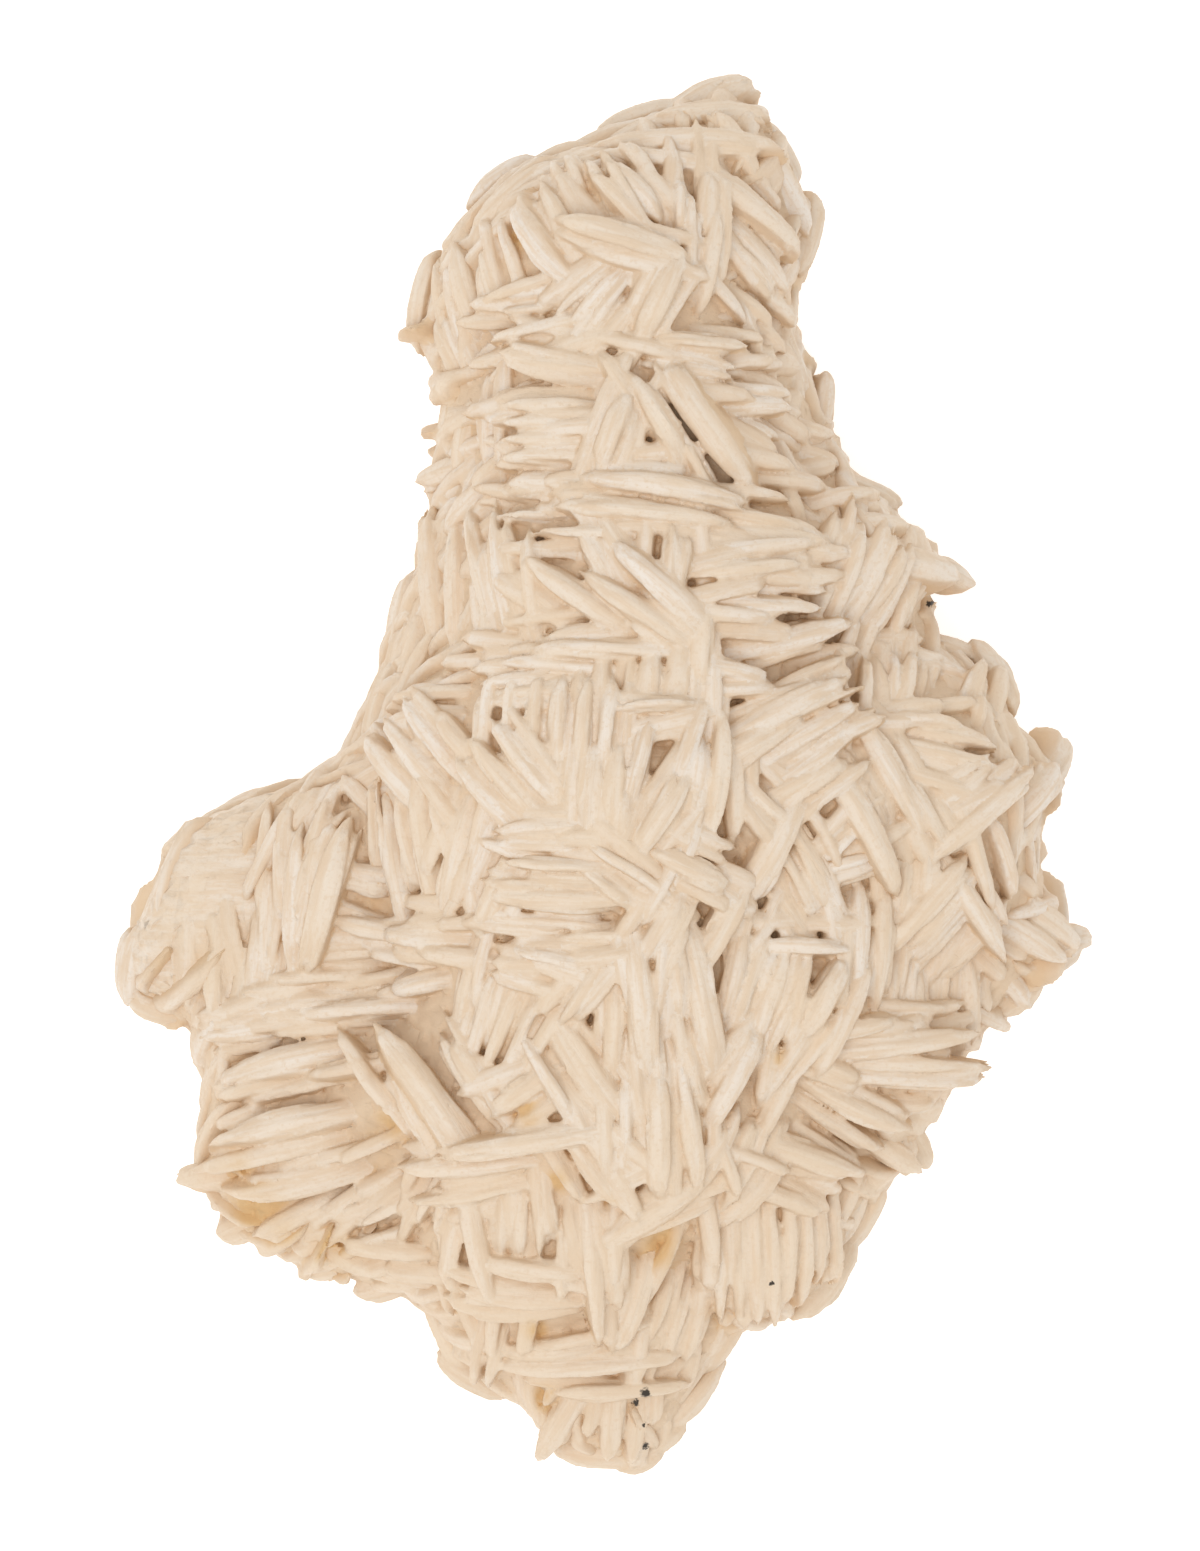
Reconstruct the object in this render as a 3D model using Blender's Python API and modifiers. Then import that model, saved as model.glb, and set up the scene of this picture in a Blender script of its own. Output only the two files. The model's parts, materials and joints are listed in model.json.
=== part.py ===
"""A cluster of thin, lens-edged mineral blades, grown together as one piece and lying on its broken back.

The display face looks up (+Z) and the crown points along +Y. Everything is one solid: a rounded, lumpy middle,
with the larger blades standing on it on edge, in stacks and crossing fans.
Places are read off a front view 1200 wide and 1551 high, in its own units, with y running down. OUTLINE and
the named tuples below hold such readings; lengths and widths are in the same units, heights in millimetres.
"""

import math
from collections import namedtuple

import bmesh
import bpy
from mathutils import Matrix, Vector
from mathutils.bvhtree import BVHTree

NAME = "dolomite_cluster"
MM = 0.001
CLUSTER_LENGTH = 120.0 * MM
VIEW_TOP = 68
VIEW_BOTTOM = 1478
VIEW_MIDDLE_X = 598.8
VIEW_MIDDLE_Y = 771.2
VIEW_UNIT = CLUSTER_LENGTH / (VIEW_BOTTOM - VIEW_TOP)
VIEW_DISTANCE = 735.0 * MM
VIEW_LEVEL = 15.0 * MM

# The plate and the lumps that make up the body, and the size of the skin's faces over them.
SLAB_BOTTOM = 9.0 * MM
SLAB_TOP = 19.0 * MM
LUMP_SIDES = 24
LUMP_RINGS = 16
BODY_GRAIN = 4.4 * MM
BODY_SMOOTHING = 3
WELD_DISTANCE = 0.01 * MM

# A blade is half as deep as it is long, or deep enough to stay buried. It stands between the way the body
# faces and straight up, and it follows the body's slope up to the steepest.
BLADE_SIDES = 8
BLADE_RINGS = 4
BLADE_DEPTH_SHARE = 0.5
BLADE_BURIED = 1.0 * MM
UPRIGHT_SHARE = 0.6
STEEPEST = 1.1
WIDEST_BLADE = 34

ABOVE_ALL = 100.0 * MM
FLOOR_SLAB = 300.0 * MM
SHARP_ANGLE = math.radians(40.0)

# A lump's place, its half sizes across and down the view, its turn in degrees, and the height of its middle
# and its reach above that, in millimetres.
Lump = namedtuple("Lump", "x y across down turn middle reach")

# A blade's place, its heading in degrees (0 points right, 90 up), its length and width, and how far its crest
# stands over the body in millimetres. A stack repeats it count times, a pitch apart to its left, each turned
# by fan degrees more.
Blade = namedtuple("Blade", "x y heading length width rise count pitch fan", defaults=(1, 0, 0))

OUTLINE = (
    (735, 86), (764, 115), (797, 165), (810, 215), (794, 262), (792, 320), (810, 385), (814, 430),
    (870, 478), (894, 530), (942, 562), (912, 602), (935, 640), (1002, 683), (1006, 745), (1058, 773),
    (1036, 830), (1040, 890), (1072, 940), (1020, 985), (972, 1045), (915, 1120), (908, 1165),
    (865, 1200), (838, 1265), (740, 1335), (700, 1370), (674, 1430), (630, 1462), (542, 1442),
    (535, 1395), (470, 1386), (436, 1300), (320, 1275), (235, 1238), (225, 1200), (185, 1170),
    (205, 1110), (200, 1015), (120, 988), (125, 938), (150, 890), (168, 835), (240, 795), (345, 775),
    (365, 700), (400, 620), (428, 540), (436, 480), (445, 400), (425, 340), (432, 262), (500, 180),
    (585, 144), (660, 112),
)

LUMPS = {
    "belly": Lump(610, 800, 215, 240, 0, 16, 21),
    "hip": Lump(600, 1090, 240, 200, 0, 15, 18.5),
    "shoulder": Lump(648, 585, 205, 135, 0, 17, 17),
    "neck": Lump(628, 430, 160, 120, 0, 17, 14),
    "crown": Lump(620, 265, 160, 130, 0, 16, 13),
    "brow": Lump(715, 160, 75, 52, 20, 15, 9),
    "right_shoulder": Lump(850, 565, 75, 75, -25, 15, 11),
    "fan": Lump(920, 830, 120, 175, 0, 15, 12),
    "loin": Lump(855, 1060, 110, 88, 0, 15, 12),
    "skirt": Lump(762, 1220, 78, 98, 22, 14, 11),
    "ankle": Lump(560, 1290, 125, 85, 0, 14, 12),
    "toe": Lump(605, 1392, 62, 58, 10, 13, 8.5),
    "heel": Lump(400, 1235, 85, 50, -22, 13, 9),
    "foot": Lump(285, 1130, 72, 88, 0, 13, 9),
    "lobe": Lump(235, 885, 70, 82, 0, 12.5, 8),
    "left_waist": Lump(310, 1000, 95, 60, 0, 13, 9),
    "left_hip": Lump(425, 790, 48, 125, 0, 15, 15),
}

CROWN = [
    Blade(708, 107, 3, 125, 30, 2.0),
    Blade(730, 86, 32, 58, 26, 1.0),
    Blade(755, 200, -38, 160, 34, 3.4),
    Blade(787, 182, -60, 125, 34, 1.0),
    Blade(625, 234, -17, 145, 26, 3.6),
    Blade(661, 296, 65, 110, 26, 3.6),
    Blade(510, 192, 40, 115, 34, 1.2),
    Blade(438, 302, -80, 95, 18, 0.8),
]
NECK = [
    Blade(700, 340, -3, 115, 14, 3.4),
    Blade(612, 432, 70, 95, 24, 3.4),
    Blade(663, 420, -58, 120, 24, 3.2),
    Blade(706, 428, -56, 165, 38, 4.0),
    Blade(665, 484, -8, 175, 24, 3.6),
    Blade(645, 509, -6, 185, 18, 3.0),
    Blade(779, 460, -62, 74, 7, 3.6),
    Blade(445, 470, 14, 84, 26, 1.4),
    Blade(445, 415, 82, 95, 26, 0.4),
]
SHOULDER = [
    Blade(452, 590, -90, 185, 26, 2.0, 2, -24, 6),
    Blade(578, 596, -34, 145, 24, 2.8),
    Blade(642, 612, -34, 150, 24, 3.2),
    Blade(664, 588, -42, 140, 28, 3.4),
    Blade(745, 568, 6, 130, 14, 3.2),
    Blade(785, 640, 14, 165, 28, 3.0),
    Blade(735, 669, -12, 85, 18, 3.4),
    Blade(702, 650, 87, 120, 20, 3.2),
    Blade(912, 560, -9, 130, 44, 2.0),
    Blade(945, 640, -15, 90, 24, 0.8),
]
LEFT_BELLY = [
    Blade(482, 722, 88, 108, 16, 2.4, 6, -25, -1),
    Blade(395, 610, 78, 95, 28, 0.4),
    Blade(380, 700, 75, 92, 36, 0.8),
    Blade(688, 752, 70, 130, 22, 3.0),
    Blade(657, 703, 3, 95, 9, 3.6),
]
RIGHT_BELLY = [
    Blade(778, 712, 26, 175, 28, 4.0),
    Blade(800, 736, 30, 150, 22, 3.0),
    Blade(721, 775, 84, 150, 22, 3.8),
    Blade(868, 822, -62, 180, 30, 3.4),
    Blade(892, 770, -60, 170, 26, 3.0),
    Blade(922, 716, -4, 100, 10, 3.2),
    Blade(895, 680, 84, 76, 12, 3.0),
    Blade(985, 817, 40, 165, 22, 3.0),
    Blade(1034, 803, 47, 112, 32, 1.8),
    Blade(1044, 912, -35, 120, 30, 2.0, 2, -30, 4),
]
MIDDLE = [
    Blade(395, 872, -80, 180, 26, 2.2),
    Blade(562, 867, -3, 130, 11, 3.0),
    Blade(562, 898, 0, 160, 28, 3.0),
    Blade(603, 884, -35, 82, 13, 3.0),
    Blade(483, 1012, 72, 130, 16, 2.2, 4, -22, -4),
    Blade(583, 992, 56, 100, 11, 3.0),
    Blade(614, 1022, 88, 140, 22, 3.0),
    Blade(643, 1004, -85, 180, 26, 4.0),
    Blade(664, 925, 62, 120, 22, 3.4),
    Blade(705, 1000, -79, 195, 30, 4.0),
    Blade(722, 930, 60, 145, 28, 3.4),
    Blade(690, 868, -26, 110, 22, 4.0),
    Blade(664, 815, 58, 115, 26, 3.2),
    Blade(550, 1085, -60, 120, 16, 3.0),
    Blade(430, 1095, -54, 190, 46, 3.6),
    Blade(540, 1143, 8, 215, 20, 3.4),
    Blade(660, 1130, -88, 150, 22, 3.4),
    Blade(690, 1115, -82, 165, 18, 3.0),
    Blade(737, 1078, 63, 135, 24, 4.0),
    Blade(826, 1000, 62, 95, 26, 3.0),
]
LOWER_RIGHT = [
    Blade(900, 1044, 6, 190, 24, 3.0),
    Blade(845, 1105, -27, 165, 20, 3.0),
    Blade(803, 1156, -20, 170, 26, 4.2),
    Blade(920, 1145, -60, 72, 26, 0.8),
    Blade(722, 1258, 90, 165, 16, 2.4, 4, -17, 1),
    Blade(792, 1245, 90, 140, 15, 2.2, 2, -16, 1),
    Blade(822, 1232, 92, 115, 15, 2.0, 2, -15, 1),
    Blade(857, 1215, 68, 90, 22, 1.0),
    Blade(1015, 985, -50, 80, 26, 0.8),
]
FOOT = [
    Blade(300, 1118, 12, 205, 36, 3.0),
    Blade(305, 1212, 28, 130, 22, 1.4),
    Blade(252, 1030, 10, 115, 24, 1.4),
    Blade(532, 1272, -6, 125, 18, 3.0),
    Blade(594, 1270, -85, 185, 20, 3.4),
    Blade(640, 1300, 73, 135, 24, 3.4),
    Blade(562, 1420, 60, 120, 28, 1.8),
    Blade(612, 1425, 86, 90, 22, 1.2, 3, -26, 0),
    Blade(440, 1335, -66, 110, 24, 0.8),
    Blade(640, 1440, 82, 78, 24, 0.6),
]
LEFT = [
    Blade(122, 970, 82, 84, 30, 0.6),
    Blade(289, 905, 87, 170, 17, 2.4),
    Blade(323, 900, 75, 165, 30, 3.4),
    Blade(368, 930, -11, 95, 18, 2.8),
    Blade(375, 1007, 4, 190, 18, 3.2),
]

ZONES = (CROWN, NECK, SHOULDER, LEFT_BELLY, RIGHT_BELLY, MIDDLE, LOWER_RIGHT, FOOT, LEFT)


def clear_scene():
    for obj in list(bpy.data.objects):
        bpy.data.objects.remove(obj, do_unlink=True)


def new_collection(name, hidden):
    collection = bpy.data.collections.new(name)
    collection.hide_render = hidden
    bpy.context.scene.collection.children.link(collection)
    return collection


def stone_material():
    material = bpy.data.materials.new("cream_stone")
    material.use_nodes = True
    shader = material.node_tree.nodes["Principled BSDF"]
    shader.inputs["Base Color"].default_value = (0.72, 0.60, 0.47, 1.0)
    shader.inputs["Roughness"].default_value = 0.55
    shader.inputs["Metallic"].default_value = 0.0
    return material


def place(x, y, height):
    """The point at a height that shows at a reading, as seen from the view's own distance."""
    nearer = 1.0 - (height - VIEW_LEVEL) / VIEW_DISTANCE
    across = (x - VIEW_MIDDLE_X) * VIEW_UNIT * nearer
    upward = (VIEW_MIDDLE_Y - y) * VIEW_UNIT * nearer
    return Vector((across, upward, height))


def add_object(name, mesh, collection):
    obj = bpy.data.objects.new(name, mesh)
    collection.objects.link(obj)
    return obj


def finished_mesh(obj):
    """The object's mesh with its modifiers applied. The object is removed."""
    bpy.context.view_layer.update()
    evaluated = obj.evaluated_get(bpy.context.evaluated_depsgraph_get())
    mesh = bpy.data.meshes.new_from_object(evaluated)
    bpy.data.objects.remove(obj, do_unlink=True)
    return mesh


def outline_slab(collection):
    """A flat plate in the cluster's outline, halfway up its thickness."""
    middle = (SLAB_BOTTOM + SLAB_TOP) / 2
    curve = bpy.data.curves.new("outline", "CURVE")
    curve.dimensions = "2D"
    curve.fill_mode = "BOTH"
    curve.extrude = (SLAB_TOP - SLAB_BOTTOM) / 2
    spline = curve.splines.new("POLY")
    spline.points.add(len(OUTLINE) - 1)
    for point, (x, y) in zip(spline.points, OUTLINE):
        corner = place(x, y, VIEW_LEVEL)
        point.co = (corner.x, corner.y, 0.0, 1.0)
    spline.use_cyclic_u = True
    obj = add_object("outline", curve, collection)
    mesh = finished_mesh(obj)
    mesh.transform(Matrix.Translation((0.0, 0.0, middle)))
    return mesh


def add_lump(shape, lump):
    size = Vector((lump.across * VIEW_UNIT, lump.down * VIEW_UNIT, lump.reach * MM))
    turned = Matrix.Rotation(math.radians(lump.turn), 4, "Z") @ Matrix.Diagonal(size).to_4x4()
    where = Matrix.Translation(place(lump.x, lump.y, lump.middle * MM)) @ turned
    bmesh.ops.create_uvsphere(shape, u_segments=LUMP_SIDES, v_segments=LUMP_RINGS, radius=1.0, matrix=where)


def body_mesh(collection):
    """The grown-together middle: the plate and all lumps under one smooth skin."""
    shape = bmesh.new()
    shape.from_mesh(outline_slab(collection))
    bmesh.ops.remove_doubles(shape, verts=shape.verts, dist=WELD_DISTANCE)
    for lump in LUMPS.values():
        add_lump(shape, lump)
    mesh = bpy.data.meshes.new("body")
    shape.to_mesh(mesh)
    shape.free()
    body = add_object("body", mesh, collection)
    skin = body.modifiers.new("one_skin", "REMESH")
    skin.mode = "VOXEL"
    skin.voxel_size = BODY_GRAIN
    soften = body.modifiers.new("soften", "SMOOTH")
    soften.factor = 0.5
    soften.iterations = BODY_SMOOTHING
    return finished_mesh(body)


def tree_of(mesh):
    shape = bmesh.new()
    shape.from_mesh(mesh)
    tree = BVHTree.FromBMesh(shape)
    shape.free()
    return tree


def body_surface(tree, x, y):
    """The body's upper side at a reading and the way it faces, or past its rim the nearest point of it."""
    start = place(x, y, ABOVE_ALL)
    aim = place(x, y, 0.0) - start
    point, facing, _, _ = tree.ray_cast(start, aim.normalized())
    if point is None:
        beside = place(x, y, VIEW_LEVEL)
        point, facing, _, _ = tree.find_nearest(beside)
        point = Vector((beside.x, beside.y, point.z))
    return point, facing


def blades_of(stack):
    """Each blade of a stack, a pitch apart to the left of its heading."""
    heading = math.radians(stack.heading)
    for step in range(stack.count):
        yield stack._replace(
            x=stack.x - math.sin(heading) * stack.pitch * step,
            y=stack.y - math.cos(heading) * stack.pitch * step,
            heading=stack.heading + stack.fan * step,
        )


def blade_matrix(tree, blade):
    """Where a unit ball goes to become the blade: its x runs along the heading, y up and z through its width."""
    point, facing = body_surface(tree, blade.x, blade.y)
    up = (facing * (1.0 - UPRIGHT_SHARE) + Vector((0.0, 0.0, UPRIGHT_SHARE))).normalized()
    heading = math.radians(blade.heading)
    level = Vector((math.cos(heading), math.sin(heading), 0.0))
    slope = max(-STEEPEST, min(STEEPEST, -up.dot(level) / up.z))
    along = Vector((level.x, level.y, slope))
    aside = along.cross(up).normalized()
    up = aside.cross(along).normalized()
    half_length = blade.length * VIEW_UNIT / 2
    depth = max(BLADE_DEPTH_SHARE * half_length, blade.rise * MM + BLADE_BURIED)
    middle = place(blade.x, blade.y, point.z + blade.rise * MM - up.z * depth)
    half_width = min(blade.width, WIDEST_BLADE) * VIEW_UNIT / 2
    axes = Matrix((along * half_length, up * depth, aside * half_width)).transposed()
    return Matrix.Translation(middle) @ axes.to_4x4()


def add_blade(where, collection):
    """A ball flattened to a lens that stands on edge."""
    mesh = bpy.data.meshes.new("blade")
    shape = bmesh.new()
    bmesh.ops.create_uvsphere(shape, u_segments=BLADE_SIDES, v_segments=BLADE_RINGS, radius=1.0, matrix=where)
    bmesh.ops.recalc_face_normals(shape, faces=shape.faces)
    shape.to_mesh(mesh)
    shape.free()
    add_object("blade", mesh, collection)


def add_blades(tree, collection):
    for zone in ZONES:
        for stack in zone:
            for blade in blades_of(stack):
                add_blade(blade_matrix(tree, blade), collection)


def add_floor_cutter(collection):
    """A slab under z = 0, which leaves the small flat spot that the cluster rests on."""
    mesh = bpy.data.meshes.new("floor_cutter")
    shape = bmesh.new()
    under = Matrix.Translation((0.0, 0.0, -FLOOR_SLAB / 2))
    bmesh.ops.create_cube(shape, size=FLOOR_SLAB, matrix=under)
    shape.to_mesh(mesh)
    shape.free()
    cutter = add_object("floor_cutter", mesh, collection)
    cutter.display_type = "WIRE"
    return cutter


def connected_faces(start):
    found = {start}
    waiting = [start]
    while waiting:
        face = waiting.pop()
        for edge in face.edges:
            for other in edge.link_faces:
                if other not in found:
                    found.add(other)
                    waiting.append(other)
    return found


def keep_outer_skin(mesh):
    """Deletes the closed pockets that blades shut in between them, which are separate islands of the mesh."""
    shape = bmesh.new()
    shape.from_mesh(mesh)
    bmesh.ops.triangulate(shape, faces=shape.faces)
    outer = connected_faces(max(shape.faces, key=lambda face: face.calc_center_median().z))
    pockets = [face for face in shape.faces if face not in outer]
    bmesh.ops.delete(shape, geom=pockets, context="FACES")
    shape.to_mesh(mesh)
    shape.free()


def grow_cluster(parts, growth, cutters):
    """One solid of the body and all blades, cut flat at z = 0."""
    mesh = body_mesh(parts)
    add_blades(tree_of(mesh), growth)
    base = add_object("base", mesh, parts)
    join = base.modifiers.new("grow_together", "BOOLEAN")
    join.operation = "UNION"
    join.operand_type = "COLLECTION"
    join.collection = growth
    cut = base.modifiers.new("rest_flat", "BOOLEAN")
    cut.operation = "DIFFERENCE"
    cut.object = add_floor_cutter(cutters)
    joined = finished_mesh(base)
    keep_outer_skin(joined)
    for blade in list(growth.objects):
        bpy.data.objects.remove(blade, do_unlink=True)
    joined.name = NAME
    joined.materials.clear()
    joined.materials.append(stone_material())
    joined.shade_smooth()
    joined.set_sharp_from_angle(angle=SHARP_ANGLE)
    add_object(NAME, joined, parts)


def main():
    clear_scene()
    parts = new_collection("dolomite_crystal", hidden=False)
    growth = new_collection("growth", hidden=True)
    cutters = new_collection("cutters", hidden=True)
    grow_cluster(parts, growth, cutters)


main()
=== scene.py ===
"""A cream cluster of thin, lens-edged mineral blades that grew together, lying on its broken back.

Run as a script, it loads the fixed frame, grows the cluster in place of its plain solid and sets up a pale
floor, soft light and a camera that looks straight down. It is laid out as an add-on, and lists its steps in
the sidebar.
"""

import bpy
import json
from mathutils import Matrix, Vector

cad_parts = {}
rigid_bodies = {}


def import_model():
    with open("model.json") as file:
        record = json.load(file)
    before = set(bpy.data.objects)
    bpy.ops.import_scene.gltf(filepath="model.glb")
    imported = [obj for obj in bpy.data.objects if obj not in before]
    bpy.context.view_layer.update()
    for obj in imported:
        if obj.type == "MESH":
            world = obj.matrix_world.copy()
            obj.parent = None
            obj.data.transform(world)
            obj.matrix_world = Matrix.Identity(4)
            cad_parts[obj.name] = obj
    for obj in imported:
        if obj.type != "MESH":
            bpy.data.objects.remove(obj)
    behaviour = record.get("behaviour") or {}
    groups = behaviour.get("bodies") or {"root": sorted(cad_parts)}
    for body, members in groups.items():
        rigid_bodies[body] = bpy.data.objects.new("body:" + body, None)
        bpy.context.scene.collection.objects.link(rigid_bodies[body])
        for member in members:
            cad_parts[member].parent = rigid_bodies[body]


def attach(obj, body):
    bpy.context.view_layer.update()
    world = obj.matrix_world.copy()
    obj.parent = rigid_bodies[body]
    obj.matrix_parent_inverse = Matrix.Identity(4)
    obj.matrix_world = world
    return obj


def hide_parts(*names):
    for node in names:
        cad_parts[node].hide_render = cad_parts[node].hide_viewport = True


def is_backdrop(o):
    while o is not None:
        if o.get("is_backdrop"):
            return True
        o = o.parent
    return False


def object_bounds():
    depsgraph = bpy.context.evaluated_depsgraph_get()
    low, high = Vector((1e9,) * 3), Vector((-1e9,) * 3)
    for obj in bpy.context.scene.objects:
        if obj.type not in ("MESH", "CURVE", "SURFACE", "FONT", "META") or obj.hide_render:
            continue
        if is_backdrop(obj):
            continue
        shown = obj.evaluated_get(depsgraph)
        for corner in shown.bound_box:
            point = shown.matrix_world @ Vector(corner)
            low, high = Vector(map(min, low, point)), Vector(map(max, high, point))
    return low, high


bl_info = {
    "name": "Bladed Crystal Cluster",
    "version": (1, 0, 0),
    "blender": (4, 5, 0),
    "location": "View3D > Sidebar > Cluster",
    "description": "Grows a cluster of lens-edged mineral blades and its photo stage",
    "category": "Add Mesh",
}

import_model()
CAD_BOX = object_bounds()

import json
import math
import random
from collections import namedtuple

import bmesh
import bpy
from bpy.props import FloatProperty, FloatVectorProperty, IntProperty, PointerProperty
from mathutils import Matrix, Quaternion, Vector, noise
from mathutils.bvhtree import BVHTree
from mathutils.kdtree import KDTree

MM = 0.001
NODE = "dolomite_cluster"

# The front view that all readings are in is 1200 wide and 1551 high, with y running down.
VIEW_WIDTH = 1200
VIEW_HEIGHT = 1551
CLUSTER_LENGTH = 120.0 * MM
VIEW_TOP = 68
VIEW_BOTTOM = 1478
VIEW_MIDDLE_X = 598.8
VIEW_MIDDLE_Y = 771.2
VIEW_UNIT = CLUSTER_LENGTH / (VIEW_BOTTOM - VIEW_TOP)
VIEW_DISTANCE = 735.0 * MM
VIEW_LEVEL = 15.0 * MM

# The plate and the lumps that make up the body under the blades.
SLAB_BOTTOM = 9.0 * MM
SLAB_TOP = 19.0 * MM
LUMP_SIDES = 32
LUMP_RINGS = 20
BODY_SMOOTHING = 30
WELD_DISTANCE = 0.01 * MM
ABOVE_ALL = 100.0 * MM
FLOOR_SLAB = 300.0 * MM

# A lump's place, its half sizes across and down the view, its turn in degrees, and the height of its middle
# and its reach above that, in millimetres.
Lump = namedtuple("Lump", "x y across down turn middle reach")

# A blade's place, its heading in degrees (0 points right, 90 up), its length and width, and how far its
# crest stands over the body in millimetres. A stack repeats it count times, a pitch apart to its left, each
# turned by fan degrees more.
Blade = namedtuple("Blade", "x y heading length width rise count pitch fan", defaults=(1, 0, 0))

# A round mark on the view: its middle and its reach.
Spot = namedtuple("Spot", "x y reach")

# One blade as it is grown: the frame of its crest's middle (x along it, y across, z up through the crest),
# its half sizes and depth in metres, how full its outline is, its tone from 0 to 1, how far its crest lies
# under its neighbours' in millimetres, and its rows of faces.
Growth = namedtuple("Growth", "frame half_length half_width depth fullness tone under rings sides")

CLUSTER = "dolomite_crystal"
STONE = "bladed_stone"
FOOTING_GRAIN = 1.6 * MM

# How blades stand on the body. Blades wider than the leaning width lean over by an angle in the range.
UPRIGHT_SHARE = 0.6
STEEPEST = 1.1
FLATTEST = 0.2
BLADE_DEPTH_SHARE = 0.45
BLADE_BURIED = 2.2 * MM
LEANING_WIDTH = 32
LEANING_SHARE = 0.8
LEAN_RANGE = (10.0, 22.0)
READ_WIDENED = 1.15

# The shape of a blade: how full its outline is, its rows of faces, and how it falls off from its
# crest, steeper on one side than on the other.
FULLNESS = (2.4, 4.5)
SMALL_FULLNESS = (3.0, 6.5)
READ_RINGS = 10
READ_SIDES = 10
SMALL_RINGS = 8
SMALL_SIDES = 6
SHOULDER_SHARE = 0.8
STEEP_DROP = 0.6
SHALLOW_DROP = 0.25
SHOULDER_POWER = 1.25
TIP = 0.999
OFFSET_SPAN = 37.0
WOBBLE_SIZE = 2.4 * MM

# The thin plates that lie against a read blade, as shares of it, with widths in view units and drops and
# turns in millimetres and degrees.
PLATE_REACH = 0.6
PLATE_SHIFT = 0.3
PLATE_LENGTH = (0.55, 0.9)
PLATE_TURN = 4.0
PLATE_WIDTH = (8, 14)
PLATE_DROP = (0.25, 0.9)

# The lower blades between the read ones. Their sizes are in view units, their drops in millimetres.
BETWEEN_LENGTH = (85, 150)
BETWEEN_WIDTH = (12, 22)
BETWEEN_DROP = (0.2, 1.0)
BETWEEN_TURN = 6.0
SHORTENED = (1.0, 0.7, 0.45)
NEIGHBOURS = 10
NEAREST_LEADS = 0.8

# The blades of the sides and the underside, which stand where the body faces up less than this.
SIDE_FACING = 0.6
SIDE_LENGTH = (90, 160)
SIDE_WIDTH = (14, 26)
SIDE_RISE = (0.2, 1.0)
SIDE_TURN = 8.0
PATCH_BLADES = 18
TRIES = 6.0

# The skins that the blades are grown into. They are cut flat at their lifts over z = 0, so that no two of
# the flats lie in one plane. The display face is split in two at a reading, and the halves overlap.
MOST_TRIANGLES = 195000
SOFTENING = 0.5
SKIN_SMOOTHING = 1
SKIN_LIFTS = {"upper_face": 0.0, "lower_face": 0.08 * MM, "back_face": 0.16 * MM}
SPLIT_Y = 860
SPLIT_OVERLAP = 1.5 * MM
SHARP_ANGLE = math.radians(50.0)

# The fine relief: ridges along the blades, grain on the bare body, pits, and none of it near the floor.
RIDGE_DEPTH = 0.2 * MM
RIDGE_ALONG = 0.12
RIDGE_ACROSS = 1.8
PIT_DEPTH = 0.35 * MM
PIT_REACH = 1.3
NEAREST_SPOTS = 2
CORE_GRAIN = 0.7 * MM
CORE_RELIEF = 0.4 * MM
# CORE_TONE is the bare body's tone. CORE_UNDER is how far the body counts as lying under the blades, which
# paints shade on it. WORN_EDGE takes most of that painted shade off near the worn places.
CORE_TONE = 0.5
CORE_UNDER = 0.5
FOOT_ROUNDING = 0.8 * MM
WORN_EDGE = 3.0
WORN_BARE = 0.2
START_OFF = 0.05 * MM

# The stone's patterns: streaks along each blade, and fine grains and broad clouds over the whole cluster.
STREAK_STRETCH = (0.12, 1.5, 0.9)
STREAKS = {"Scale": 1.0, "Detail": 4.0, "Roughness": 0.62}
GRAINS = {"Scale": 2600.0, "Detail": 2.0, "Roughness": 0.6}
CLOUDS = {"Scale": 130.0, "Detail": 4.0, "Roughness": 0.55}
# How much a blade's lying under its neighbours deepens the painted shade on it.
UNDER_SHARE = 0.4
GRAIN_RELIEF = 0.3
RELIEF = {"Strength": 0.5, "Distance": 0.25 * MM}
ROUGHNESS = (0.48, 0.66)
SPECULAR = 0.25
SPECK_LEVEL = 25.0 * MM
SPECK_RAGS = 0.15 * MM
SPECK_CORE = 0.5

# The sockets of the node that blends two colours.
BLEND_SHARE = 0
BLEND_FIRST = 6
BLEND_SECOND = 7
BLEND_RESULT = 2

# The stage.
FLOOR_HALF = 2.0
FLOOR_ROUGHNESS = 0.9
KEY_SIZE = 0.6
KEY_PLACE = Vector((-0.15, -0.15, 0.85))
SENSOR_HEIGHT = 36.0
WHITE = (1.0, 1.0, 1.0, 1.0)

OUTLINE = (
    (735, 86), (764, 115), (797, 165), (810, 215), (794, 262), (792, 320), (810, 385), (814, 430),
    (870, 478), (894, 530), (942, 562), (912, 602), (935, 640), (1002, 683), (1006, 745), (1058, 773),
    (1036, 830), (1040, 890), (1072, 940), (1020, 985), (972, 1045), (915, 1120), (908, 1165),
    (865, 1200), (838, 1265), (740, 1335), (700, 1370), (674, 1430), (630, 1462), (542, 1442),
    (535, 1395), (470, 1386), (436, 1300), (320, 1275), (235, 1238), (225, 1200), (185, 1170),
    (205, 1110), (200, 1015), (120, 988), (125, 938), (150, 890), (168, 835), (240, 795), (345, 775),
    (365, 700), (400, 620), (428, 540), (436, 480), (445, 400), (425, 340), (432, 262), (500, 180),
    (585, 144), (660, 112),
)

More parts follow.
